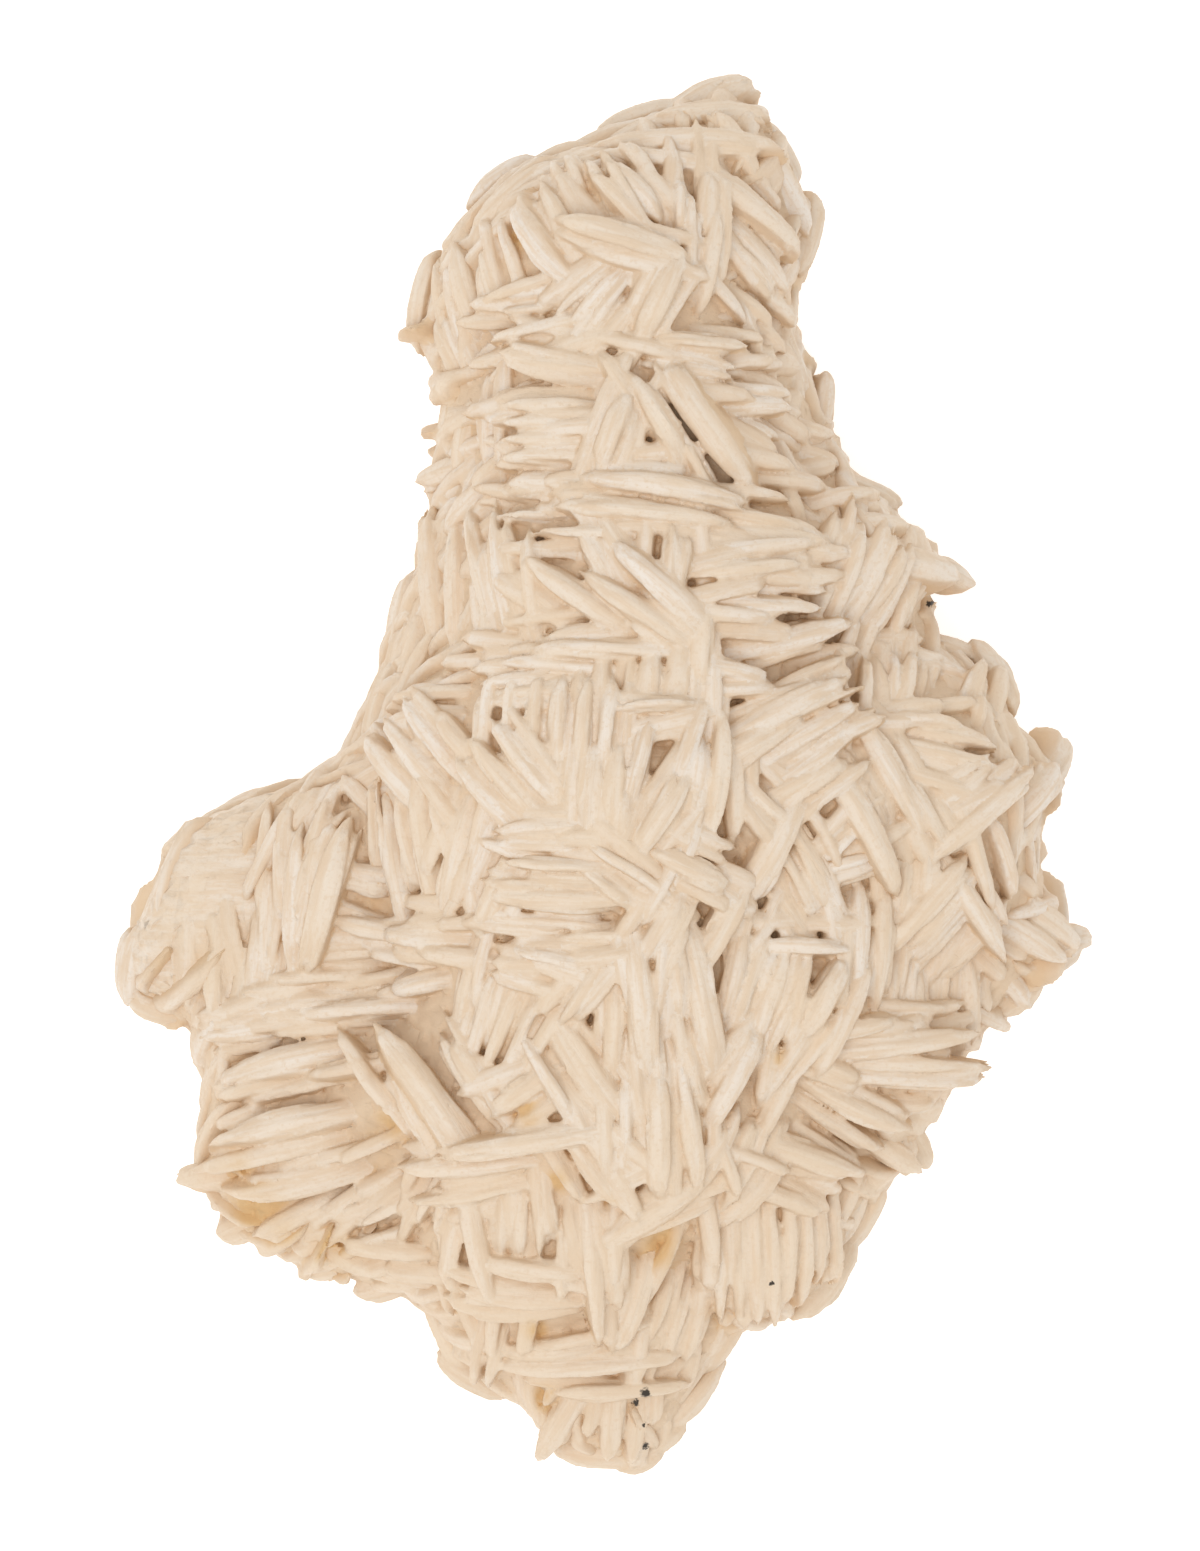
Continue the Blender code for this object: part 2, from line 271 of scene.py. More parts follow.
LUMPS = {
    "belly": Lump(610, 800, 215, 240, 0, 16, 21),
    "hip": Lump(600, 1090, 240, 200, 0, 15, 18.5),
    "shoulder": Lump(648, 585, 205, 135, 0, 17, 17),
    "neck": Lump(628, 430, 160, 120, 0, 17, 14),
    "crown": Lump(620, 265, 160, 130, 0, 16, 13),
    "brow": Lump(715, 160, 75, 52, 20, 15, 9),
    "right_shoulder": Lump(850, 565, 75, 75, -25, 15, 11),
    "fan": Lump(920, 830, 120, 175, 0, 15, 12),
    "loin": Lump(855, 1060, 110, 88, 0, 15, 12),
    "skirt": Lump(762, 1220, 78, 98, 22, 14, 11),
    "ankle": Lump(560, 1290, 125, 85, 0, 14, 12),
    "toe": Lump(605, 1392, 62, 58, 10, 13, 8.5),
    "heel": Lump(400, 1235, 85, 50, -22, 13, 9),
    "foot": Lump(285, 1130, 72, 88, 0, 13, 9),
    "lobe": Lump(235, 885, 70, 82, 0, 12.5, 8),
    "left_waist": Lump(310, 1000, 95, 60, 0, 13, 9),
    "left_hip": Lump(425, 790, 48, 125, 0, 15, 15),
}

# Broad, low lumps that bridge the creases between the big ones.
SADDLES = (
    Lump(625, 350, 150, 85, 0, 16, 13.5),
    Lump(640, 505, 172, 80, 0, 16.5, 15),
    Lump(632, 690, 205, 100, 0, 16.5, 18.5),
    Lump(605, 955, 225, 110, 0, 16, 19),
    Lump(795, 800, 120, 190, 0, 15, 17),
    Lump(790, 990, 130, 120, 0, 15, 16.5),
    Lump(560, 1220, 175, 90, 0, 14.5, 14.5),
    Lump(440, 1090, 130, 110, 0, 14, 14),
    Lump(345, 880, 90, 110, 0, 13.5, 11.5),
)

# The blades of the display face, zone by zone, each read as a Blade. Those of the rim make it ragged.
ZONES = {
    "crown": (
        (708, 107, 3, 125, 30, 2.0), (730, 86, 32, 58, 26, 1.0), (680, 134, 1, 205, 22, 2.6),
        (655, 153, -5, 150, 18, 2.4), (755, 200, -38, 160, 34, 3.4), (787, 182, -60, 125, 34, 1.0),
        (783, 143, -55, 90, 22, 0.6), (760, 250, -48, 120, 24, 2.6), (768, 292, -42, 100, 20, 1.8),
        (712, 262, 80, 120, 16, 2.4), (693, 245, 88, 110, 14, 2.0), (681, 203, 88, 60, 10, 2.4),
        (625, 234, -17, 145, 26, 3.6), (661, 296, 65, 110, 26, 3.6), (640, 187, -52, 85, 22, 2.4),
        (606, 187, -58, 85, 14, 2.0), (578, 180, -68, 72, 14, 1.6, 2, -17, 2),
        (510, 192, 40, 115, 34, 1.2), (470, 222, 35, 90, 30, 0.8), (546, 168, 20, 62, 20, 1.0),
        (535, 250, -52, 115, 36, 2.8), (462, 292, -74, 112, 26, 2.2), (489, 287, -70, 85, 14, 1.6),
        (438, 302, -80, 95, 18, 0.8), (608, 302, 52, 92, 12, 1.8, 3, 14, -5), (541, 326, 12, 125, 12, 2.0),
        (530, 291, 8, 72, 10, 1.4, 2, -17, -3),
    ),
    "neck": (
        (700, 340, -3, 115, 14, 3.4), (692, 355, -12, 100, 12, 2.2, 2, -13, 3),
        (566, 370, -8, 150, 42, 1.8), (548, 404, 0, 108, 13, 2.4, 4, -17, 0), (552, 481, -2, 100, 22, 1.4),
        (612, 432, 70, 95, 24, 3.4), (663, 420, -58, 120, 24, 3.2), (706, 428, -56, 165, 38, 4.0),
        (665, 484, -8, 175, 24, 3.6), (645, 509, -6, 185, 18, 3.0), (590, 530, -1, 118, 11, 2.2),
        (540, 514, -3, 90, 10, 1.4), (779, 460, -62, 74, 7, 3.6), (445, 470, 14, 84, 26, 1.4),
        (478, 492, 40, 115, 26, 2.0), (485, 420, 88, 108, 26, 1.8), (445, 415, 82, 95, 26, 0.4),
        (448, 350, -62, 70, 28, 0.8), (745, 388, -2, 112, 14, 2.2, 2, -16, 4),
        (790, 350, -70, 120, 26, 1.0), (752, 424, -20, 75, 14, 1.6), (800, 428, -12, 75, 16, 1.0),
        (660, 460, 2, 80, 10, 1.8),
    ),
    "shoulder": (
        (432, 565, 80, 150, 26, 1.4), (452, 590, -90, 185, 26, 2.0, 2, -24, 6),
        (499, 586, -79, 180, 16, 2.6, 2, -20, 5), (578, 596, -34, 145, 24, 2.8),
        (642, 612, -34, 150, 24, 3.2), (664, 588, -42, 140, 28, 3.4),
        (600, 560, -60, 90, 24, 2.0, 2, 26, 2), (670, 562, 86, 92, 14, 2.4), (745, 568, 6, 130, 14, 3.2),
        (748, 546, 8, 155, 13, 2.8), (762, 531, -4, 160, 13, 2.4), (742, 513, -8, 150, 13, 2.4),
        (755, 604, -3, 155, 16, 2.8), (770, 587, -2, 140, 12, 1.6), (828, 497, 14, 125, 20, 1.8),
        (785, 640, 14, 165, 28, 3.0), (735, 669, -12, 85, 18, 3.4), (702, 650, 87, 120, 20, 3.2),
        (612, 647, -2, 165, 15, 2.6), (565, 664, -5, 150, 14, 2.0), (590, 632, 5, 100, 13, 1.8),
        (912, 560, -9, 130, 44, 2.0), (865, 522, 5, 100, 20, 1.2), (862, 483, -20, 95, 22, 0.8),
        (847, 580, 68, 120, 20, 2.0, 3, -24, -5), (945, 640, -15, 90, 24, 0.8),
        (905, 652, -3, 95, 14, 2.0), (840, 610, 62, 90, 14, 1.6),
    ),
    "left_belly": (
        (440, 690, 2, 120, 16, 2.6), (436, 716, 2, 112, 30, 1.8), (482, 722, 88, 108, 16, 2.4, 6, -25, -1),
        (540, 676, 3, 130, 14, 1.8), (560, 691, -2, 140, 14, 1.8), (630, 677, 86, 66, 14, 1.6),
        (655, 677, 86, 72, 12, 2.4, 2, -28, -2), (395, 610, 78, 95, 28, 0.4), (380, 700, 75, 92, 36, 0.8),
        (400, 785, -46, 140, 26, 1.8, 3, 27, -2), (488, 800, -46, 120, 22, 2.6, 3, 25, -2),
        (590, 790, 85, 105, 22, 2.0, 2, -23, 0), (640, 762, 76, 120, 18, 2.2),
        (688, 752, 70, 130, 22, 3.0), (657, 703, 3, 95, 9, 3.6), (660, 717, 8, 70, 9, 2.0),
    ),
    "right_belly": (
        (778, 712, 26, 175, 28, 4.0), (800, 736, 30, 150, 22, 3.0), (805, 765, 34, 130, 22, 2.2),
        (721, 775, 84, 150, 22, 3.8), (868, 822, -62, 180, 30, 3.4), (892, 770, -60, 170, 26, 3.0),
        (918, 800, -57, 130, 18, 2.4), (922, 716, -4, 100, 10, 3.2),
        (945, 733, -10, 120, 14, 2.2, 2, -17, -3), (975, 692, 68, 90, 22, 1.8, 2, -24, 3),
        (895, 680, 84, 76, 12, 3.0), (920, 685, 76, 62, 16, 1.4), (955, 775, 30, 90, 12, 1.8, 2, -16, 6),
        (985, 817, 40, 165, 22, 3.0), (1034, 803, 47, 112, 32, 1.8), (1008, 856, -72, 100, 16, 2.6),
        (975, 905, -58, 150, 24, 2.8), (1044, 912, -35, 120, 30, 2.0, 2, -30, 4),
        (774, 855, 62, 140, 44, 2.8), (765, 800, -42, 95, 15, 2.6), (845, 845, 42, 62, 12, 2.0),
        (850, 863, 15, 74, 12, 2.2), (812, 872, -65, 92, 13, 2.2, 2, -17, 2),
        (860, 945, 86, 150, 20, 2.8, 2, -24, 0), (905, 885, 86, 90, 14, 1.8), (925, 910, 48, 150, 22, 2.8),
        (950, 932, 50, 110, 16, 1.8),
    ),
    "middle": (
        (395, 872, -80, 180, 26, 2.2), (425, 855, -80, 180, 28, 2.0), (455, 850, 76, 160, 24, 1.8),
        (498, 883, 64, 130, 24, 2.8), (550, 846, 0, 125, 14, 2.0), (562, 867, -3, 130, 11, 3.0),
        (562, 898, 0, 160, 28, 3.0), (603, 884, -35, 82, 13, 3.0), (545, 921, -4, 150, 13, 2.0),
        (450, 937, -2, 165, 30, 1.8), (600, 936, 3, 95, 11, 2.0),
        (483, 1012, 72, 130, 16, 2.2, 4, -22, -4), (556, 960, -12, 95, 14, 2.6),
        (583, 992, 56, 100, 11, 3.0), (614, 1022, 88, 140, 22, 3.0), (643, 1004, -85, 180, 26, 4.0),
        (664, 925, 62, 120, 22, 3.4), (705, 1000, -79, 195, 30, 4.0), (677, 1045, -74, 150, 15, 2.6),
        (722, 930, 60, 145, 28, 3.4), (690, 868, -26, 110, 22, 4.0), (664, 815, 58, 115, 26, 3.2),
        (700, 805, 80, 110, 16, 2.8), (585, 1075, -56, 145, 40, 2.6), (550, 1085, -60, 120, 16, 3.0),
        (527, 1087, 32, 95, 24, 2.6), (430, 1095, -54, 190, 46, 3.6), (468, 1085, -56, 130, 16, 2.0),
        (540, 1143, 8, 215, 20, 3.4), (470, 1168, 5, 165, 20, 2.6), (480, 1193, 12, 160, 16, 2.0),
        (590, 1170, -55, 110, 18, 2.6), (660, 1130, -88, 150, 22, 3.4), (690, 1115, -82, 165, 18, 3.0),
        (737, 1078, 63, 135, 24, 4.0), (770, 995, 72, 120, 24, 2.4, 2, 26, -3),
        (800, 946, -3, 120, 18, 2.8), (826, 1000, 62, 95, 26, 3.0), (800, 1000, 76, 100, 14, 2.4),
        (735, 1160, 60, 90, 18, 2.0),
    ),
    "lower_right": (
        (900, 1044, 6, 190, 24, 3.0), (900, 1064, -3, 200, 16, 2.2, 2, -17, 0),
        (845, 1105, -27, 165, 20, 3.0), (828, 1120, -33, 150, 16, 2.4), (815, 1137, -33, 130, 13, 1.6),
        (803, 1156, -20, 170, 26, 4.2), (885, 1150, -35, 110, 22, 1.8), (920, 1145, -60, 72, 26, 0.8),
        (974, 995, -84, 115, 20, 2.0), (945, 985, 84, 80, 16, 1.0), (912, 985, 84, 80, 14, 1.2),
        (722, 1258, 90, 165, 16, 2.4, 4, -17, 1), (792, 1245, 90, 140, 15, 2.2, 2, -16, 1),
        (822, 1232, 92, 115, 15, 2.0, 2, -15, 1), (857, 1215, 68, 90, 22, 1.0),
        (1015, 985, -50, 80, 26, 0.8),
    ),
    "foot": (
        (300, 1052, 12, 200, 40, 2.8), (300, 1118, 12, 205, 36, 3.0), (285, 1150, 14, 200, 22, 2.2),
        (320, 1184, 15, 205, 34, 2.6), (305, 1212, 28, 130, 22, 1.4), (252, 1030, 10, 115, 24, 1.4),
        (392, 1208, 30, 90, 12, 2.0), (430, 1195, 62, 80, 12, 2.0, 2, -16, 4),
        (395, 1252, -4, 125, 22, 1.8), (345, 1262, -30, 80, 22, 1.2), (474, 1240, -80, 160, 26, 2.8),
        (532, 1272, -6, 125, 18, 3.0), (530, 1300, -3, 155, 24, 2.2),
        (500, 1222, 88, 80, 14, 1.4, 3, -20, 0), (594, 1270, -85, 185, 20, 3.4),
        (640, 1300, 73, 135, 24, 3.4), (662, 1308, 74, 110, 15, 2.6, 2, -20, 3),
        (655, 1208, 32, 150, 36, 2.8), (478, 1345, 78, 105, 14, 2.2, 2, -20, -3),
        (590, 1368, 3, 205, 24, 2.4), (625, 1392, 3, 150, 16, 2.2), (562, 1420, 60, 120, 28, 1.8),
        (612, 1425, 86, 90, 22, 1.2, 3, -26, 0), (440, 1335, -66, 110, 24, 0.8),
        (640, 1440, 82, 78, 24, 0.6),
    ),
    "left": (
        (122, 970, 82, 84, 30, 0.6), (289, 905, 87, 170, 17, 2.4), (323, 900, 75, 165, 30, 3.4),
        (264, 930, 88, 150, 18, 1.6), (212, 985, 88, 85, 18, 1.8), (368, 930, -11, 95, 18, 2.8),
        (362, 886, -14, 60, 14, 1.2), (355, 955, 3, 110, 14, 1.8), (375, 978, 8, 175, 14, 2.2),
        (375, 1007, 4, 190, 18, 3.2), (310, 815, 60, 90, 22, 0.8),
    ),
    "rim": (
        (215, 1172, 8, 105, 34, 0.5), (245, 1232, 25, 80, 40, 0.3), (330, 1272, 20, 72, 50, 0.2),
        (378, 1288, 15, 62, 42, 0.2), (470, 1378, -30, 90, 40, 0.2), (600, 1462, -5, 110, 30, 0.2),
        (642, 1468, 20, 50, 22, 0.2), (1060, 775, 55, 90, 34, 0.5), (1068, 938, 5, 72, 40, 0.5),
        (1062, 965, 30, 60, 26, 0.3), (1025, 1003, 35, 62, 26, 0.3), (835, 1285, 55, 110, 30, 0.3),
        (870, 1220, 60, 90, 26, 0.3), (700, 1400, 50, 110, 24, 0.3), (662, 1448, 35, 70, 22, 0.3),
        (700, 88, 25, 110, 28, 0.4), (740, 80, 10, 32, 16, 0.4), (815, 235, 75, 90, 24, 0.3),
        (828, 405, 80, 80, 22, 0.3), (414, 300, 80, 110, 22, 0.3), (495, 172, 35, 90, 20, 0.3),
        (635, 108, 20, 100, 22, 0.3), (958, 572, -25, 62, 34, 0.6), (1003, 670, -60, 90, 26, 0.5),
        (150, 1015, -20, 60, 24, 0.2),
    ),
}

# The worn places of the left lobe, where the blades are rubbed to a fine-grained hump.
WORN = [Spot(*spot) for spot in (
    (215, 845, 46), (190, 905, 42), (240, 905, 34), (235, 820, 40), (148, 972, 34), (140, 928, 30),
)]

# The open pits between the blades, read at their middles.
PITS = [Spot(*spot) for spot in (
    (655, 212, 9), (690, 197, 6), (510, 235, 10), (535, 272, 8), (590, 252, 7), (678, 317, 8),
    (737, 278, 6), (738, 318, 6), (787, 318, 7), (625, 290, 10), (495, 343, 6), (600, 353, 7),
    (462, 395, 14), (675, 375, 8), (710, 377, 8), (652, 432, 9), (765, 425, 6), (778, 497, 7),
    (752, 503, 6), (515, 515, 9), (540, 540, 9), (562, 562, 9), (577, 605, 6), (543, 632, 8),
    (660, 582, 7), (690, 580, 10), (790, 617, 7), (770, 678, 9), (865, 675, 7), (705, 678, 6),
    (935, 600, 7), (740, 702, 7), (650, 710, 7), (665, 670, 8), (543, 735, 6), (662, 745, 9),
    (655, 775, 9), (345, 797, 7), (355, 817, 7), (367, 860, 8), (372, 900, 16), (430, 1017, 7),
    (420, 1033, 6), (428, 1045, 6), (440, 992, 6), (435, 650, 7), (140, 950, 6), (165, 997, 6),
    (560, 928, 7), (605, 920, 7), (590, 1015, 7), (622, 1085, 7), (710, 875, 8), (668, 820, 7),
    (735, 858, 6), (765, 910, 8), (857, 892, 7), (857, 760, 6), (815, 835, 7), (525, 1110, 7),
    (500, 1128, 6), (478, 1115, 6), (915, 730, 8), (995, 755, 8), (940, 685, 7), (1030, 865, 7),
    (1000, 895, 7), (995, 990, 7), (905, 885, 7), (757, 1120, 8), (800, 1140, 6), (752, 1080, 8),
    (780, 1050, 8), (830, 1020, 6), (880, 1093, 6), (855, 1140, 6), (900, 1158, 6), (687, 1128, 8),
    (708, 1085, 6), (820, 965, 6), (810, 980, 6), (635, 1250, 10), (660, 1240, 9), (680, 1255, 9),
    (692, 1248, 8), (605, 1205, 6), (560, 1192, 6), (540, 1250, 7), (555, 1237, 6), (715, 1315, 6),
    (745, 1315, 6), (537, 1340, 6), (570, 1330, 6), (507, 1353, 6), (655, 1315, 7), (540, 1400, 10),
    (645, 1425, 6), (325, 1090, 7), (230, 1140, 7), (245, 1175, 7), (252, 1215, 8), (375, 1072, 6),
    (380, 1130, 7), (405, 1145, 6), (325, 1257, 7), (338, 1243, 6), (390, 1225, 8), (430, 1220, 6),
    (428, 1252, 6),
)]

# Orange-tan stains in the foot, and the few black specks.
STAINS = [Spot(*spot) for spot in (
    (258, 1205, 34), (282, 1232, 22), (392, 1132, 26), (332, 1250, 30), (238, 1165, 18), (165, 985, 14),
    (545, 1398, 16), (668, 1250, 32), (515, 238, 16), (375, 900, 20), (525, 1112, 18), (390, 1175, 20),
    (560, 1180, 14), (612, 1200, 14), (720, 1312, 22), (535, 1330, 14), (775, 1060, 18),
)]
SPECKS = [Spot(*spot) for spot in (
    (646, 1396, 6), (635, 1407, 4.5), (645, 1430, 2.5), (646, 1454, 4), (772, 1284, 3), (935, 601, 4.5),
)]


def place(x, y, height):
    """The point at a height that shows at a reading, as seen from the view's own distance."""
    nearer = 1.0 - (height - VIEW_LEVEL) / VIEW_DISTANCE
    across = (x - VIEW_MIDDLE_X) * VIEW_UNIT * nearer
    upward = (VIEW_MIDDLE_Y - y) * VIEW_UNIT * nearer
    return Vector((across, upward, height))


def reading(point):
    """The reading (x, y) at which a point shows: the inverse of place."""
    nearer = 1.0 - (point.z - VIEW_LEVEL) / VIEW_DISTANCE
    x = VIEW_MIDDLE_X + point.x / (VIEW_UNIT * nearer)
    y = VIEW_MIDDLE_Y - point.y / (VIEW_UNIT * nearer)
    return Vector((x, y))


def add_object(name, data, collection):
    obj = bpy.data.objects.new(name, data)
    collection.objects.link(obj)
    return obj


def new_collection(name):
    collection = bpy.data.collections.new(name)
    bpy.context.scene.collection.children.link(collection)
    return collection


def cluster_collection():
    return bpy.data.collections.get(CLUSTER) or new_collection(CLUSTER)


def kept_mesh(shape, name):
    """The bmesh as a named mesh. The bmesh is freed."""
    mesh = bpy.data.meshes.new(name)
    shape.to_mesh(mesh)
    shape.free()
    return mesh


def close_holes(shape):
    bmesh.ops.holes_fill(shape, edges=[edge for edge in shape.edges if edge.is_boundary], sides=0)


def add_skin(obj, grain, smoothings):
    """Modifiers that grow one soft, closed skin over everything in the object."""
    skin = obj.modifiers.new("one_skin", "REMESH")
    skin.mode = "VOXEL"
    skin.voxel_size = grain
    soften = obj.modifiers.new("soften", "SMOOTH")
    soften.factor = SOFTENING
    soften.iterations = smoothings


def finished_mesh(obj):
    """The object's mesh with its modifiers applied. The object is removed."""
    bpy.context.view_layer.update()
    evaluated = obj.evaluated_get(bpy.context.evaluated_depsgraph_get())
    mesh = bpy.data.meshes.new_from_object(evaluated)
    bpy.data.objects.remove(obj, do_unlink=True)
    return mesh


def outline_slab(collection):
    """A flat plate in the cluster's outline, halfway up its thickness."""
    curve = bpy.data.curves.new("outline", "CURVE")
    curve.dimensions = "2D"
    curve.fill_mode = "BOTH"
    curve.extrude = (SLAB_TOP - SLAB_BOTTOM) / 2
    spline = curve.splines.new("POLY")
    spline.points.add(len(OUTLINE) - 1)
    for point, (x, y) in zip(spline.points, OUTLINE):
        corner = place(x, y, VIEW_LEVEL)
        point.co = (corner.x, corner.y, 0.0, 1.0)
    spline.use_cyclic_u = True
    mesh = finished_mesh(add_object("outline", curve, collection))
    mesh.transform(Matrix.Translation((0.0, 0.0, (SLAB_BOTTOM + SLAB_TOP) / 2)))
    return mesh


def add_lump(shape, lump):
    size = Vector((lump.across * VIEW_UNIT, lump.down * VIEW_UNIT, lump.reach * MM))
    turned = Matrix.Rotation(math.radians(lump.turn), 4, "Z") @ Matrix.Diagonal(size).to_4x4()
    where = Matrix.Translation(place(lump.x, lump.y, lump.middle * MM)) @ turned
    bmesh.ops.create_uvsphere(shape, u_segments=LUMP_SIDES, v_segments=LUMP_RINGS, radius=1.0, matrix=where)


def body_mesh(collection, grain):
    """The grown-together middle: the plate and all lumps under one smooth skin."""
    shape = bmesh.new()
    shape.from_mesh(outline_slab(collection))
    bmesh.ops.remove_doubles(shape, verts=shape.verts, dist=WELD_DISTANCE)
    for lump in (*LUMPS.values(), *SADDLES):
        add_lump(shape, lump)
    body = add_object("body", kept_mesh(shape, "body"), collection)
    add_skin(body, grain, BODY_SMOOTHING)
    return finished_mesh(body)


def tree_of(mesh):
    shape = bmesh.new()
    shape.from_mesh(mesh)
    tree = BVHTree.FromBMesh(shape)
    shape.free()
    return tree


def seen(tree, x, y):
    """The body's upper side at a reading and the way it faces, or nothing where the reading is beside it."""
    start = place(x, y, ABOVE_ALL)
    aim = place(x, y, 0.0) - start
    return tree.ray_cast(start, aim.normalized())[:2]


def body_surface(tree, x, y):
    """What is seen at a reading, or past the rim the nearest height to it."""
    point, facing = seen(tree, x, y)
    if point is None:
        beside = place(x, y, VIEW_LEVEL)
        point, facing, _, _ = tree.find_nearest(beside)
        point = Vector((beside.x, beside.y, point.z))
    return point, facing


def blades_of(stack):
    """Each blade of a stack, a pitch apart to the left of its heading."""
    heading = math.radians(stack.heading)
    for step in range(stack.count):
        yield stack._replace(
            x=stack.x - math.sin(heading) * stack.pitch * step,
            y=stack.y - math.cos(heading) * stack.pitch * step,
            heading=stack.heading + stack.fan * step,
        )


def blade_frame(crest, along, up):
    """The frame of a blade with its crest's middle at a point: x along it, y across and z up through it."""
    aside = up.cross(along).normalized()
    up = along.cross(aside).normalized()
    axes = Matrix((along.normalized(), aside, up)).transposed()
    return Matrix.Translation(crest) @ axes.to_4x4()


def along_slope(heading, up):
    """The way a heading on the view runs over a surface, up to the steepest. Its length on the view is 1."""
    level = Vector((math.cos(heading), math.sin(heading), 0.0))
    slope = max(-STEEPEST, min(STEEPEST, -up.dot(level) / max(up.z, FLATTEST)))
    return Vector((level.x, level.y, slope))


def read_growth(tree, blade, chance):
    """The blade at its reading, standing between the way the body faces and straight up."""
    point, facing = body_surface(tree, blade.x, blade.y)
    up = (facing * (1.0 - UPRIGHT_SHARE) + Vector((0.0, 0.0, UPRIGHT_SHARE))).normalized()
    along = along_slope(math.radians(blade.heading), up)
    half_length = blade.length * VIEW_UNIT / 2 * along.length
    width = blade.width * VIEW_UNIT * READ_WIDENED
    lean = 0.0
    if blade.width > LEANING_WIDTH:
        lean = chance.choice((-1, 1)) * math.radians(chance.uniform(*LEAN_RANGE))
        width *= LEANING_SHARE
    up = Quaternion(along.normalized(), lean) @ up
    crest = place(blade.x, blade.y, point.z + blade.rise * MM)
    depth = max(BLADE_DEPTH_SHARE * half_length, blade.rise * MM)
    return Growth(
        blade_frame(crest, along, up), half_length, width / 2, depth,
        chance.uniform(*FULLNESS), chance.random(), 0.0, READ_RINGS, READ_SIDES,
    )


def side_plates(growth, chance):
    """A thin plate on each side of a read blade, a little lower and shorter than it."""
    for side in (-1, 1):
        drop = chance.uniform(*PLATE_DROP)
        along = chance.uniform(-PLATE_SHIFT, PLATE_SHIFT) * growth.half_length
        shift = Vector((along, side * growth.half_width * PLATE_REACH, -drop * MM))
        turn = Matrix.Rotation(math.radians(chance.uniform(-PLATE_TURN, PLATE_TURN)), 4, "Z")
        yield growth._replace(
            frame=growth.frame @ Matrix.Translation(shift) @ turn,
            half_length=growth.half_length * chance.uniform(*PLATE_LENGTH),
            half_width=chance.uniform(*PLATE_WIDTH) * VIEW_UNIT / 2,
            tone=chance.random(), under=drop, rings=SMALL_RINGS, sides=SMALL_SIDES,
        )


def covered(x, y, blade):
    """Whether a reading lies on a blade's outline."""
    heading = math.radians(blade.heading)
    away = (x - blade.x, blade.y - y)
    along = (away[0] * math.cos(heading) + away[1] * math.sin(heading)) / (blade.length / 2)
    across = (-away[0] * math.sin(heading) + away[1] * math.cos(heading)) / (blade.width / 2)
    return abs(along) < 1.0 and abs(across) < 1.0 - along * along


def kept_inside(tree, blade):
    """The blade, shortened where an end would stick out past the rim, or None where it has no room."""
    heading = math.radians(blade.heading)
    for share in SHORTENED:
        reach = share * blade.length / 2
        across, upward = reach * math.cos(heading), reach * math.sin(heading)
        ends = ((blade.x + across, blade.y - upward), (blade.x - across, blade.y + upward))
        if all(seen(tree, *end)[0] for end in ends):
            return blade._replace(length=blade.length * share)
    return None


def tree_of_readings(readings):
    """A search tree over the places of blades or spots on the view."""
    nearest = KDTree(len(readings))
    for index, entry in enumerate(readings):
        nearest.insert((entry.x, entry.y, 0.0), index)
    nearest.balance()
    return nearest


def between_growths(tree, blades, step, chance):
    """Lower blades in the gaps between the read ones, turned like their nearest neighbours."""
    nearest = tree_of_readings(blades)
    left, right = min(x for x, _ in OUTLINE), max(x for x, _ in OUTLINE)
    for row in range(VIEW_TOP, VIEW_BOTTOM, step):
        for column in range(left, right, step):
            x = column + chance.uniform(-0.5, 0.5) * step
            y = row + chance.uniform(-0.5, 0.5) * step
            near = [blades[index] for _, index, _ in nearest.find_n((x, y, 0.0), NEIGHBOURS)]
            if seen(tree, x, y)[0] is None or any(covered(x, y, blade) for blade in near):
                continue
            guide = near[0] if chance.random() < NEAREST_LEADS else near[1]
            level = (near[0].rise + near[1].rise + near[2].rise) / 3
            drop = chance.uniform(*BETWEEN_DROP)
            blade = Blade(
                x, y, guide.heading + chance.gauss(0.0, BETWEEN_TURN), chance.uniform(*BETWEEN_LENGTH),
                chance.uniform(*BETWEEN_WIDTH), level - drop,
            )
            blade = kept_inside(tree, blade)
            if blade is None:
                continue
            on_worn = any(math.dist((x, y), (worn.x, worn.y)) < worn.reach for worn in WORN)
            if on_worn or any(covered(pit.x, pit.y, blade) for pit in PITS):
                continue
            growth = read_growth(tree, blade, chance)
            fullness = chance.uniform(*SMALL_FULLNESS)
            yield growth._replace(fullness=fullness, under=drop, rings=SMALL_RINGS, sides=SMALL_SIDES)


def scattered_points(mesh, spacing, chance):
    """Points spread evenly over the sides and the underside, none nearer to another than the spacing."""
    shape = bmesh.new()
    shape.from_mesh(mesh)
    bmesh.ops.triangulate(shape, faces=shape.faces)
    faces = [face for face in shape.faces if face.normal.z < SIDE_FACING]
    faces_area = sum(face.calc_area() for face in faces)
    wanted = int(TRIES * faces_area / spacing ** 2)
    picked = chance.choices(faces, weights=[face.calc_area() for face in faces], k=wanted)
    cells = {}
    for face in picked:
        first, second = sorted((chance.random(), chance.random()))
        a, b, c = (vert.co for vert in face.verts)
        point = a * first + b * (second - first) + c * (1.0 - second)
        cell = tuple(math.floor(value / spacing) for value in point)
        beside = [
            other
            for x in (-1, 0, 1) for y in (-1, 0, 1) for z in (-1, 0, 1)
            for other, _ in cells.get((cell[0] + x, cell[1] + y, cell[2] + z), ())
        ]
        if all((other - point).length > spacing for other in beside):
            cells.setdefault(cell, []).append((point, face.normal.copy()))
    shape.free()
    return [entry for cell in cells.values() for entry in cell]


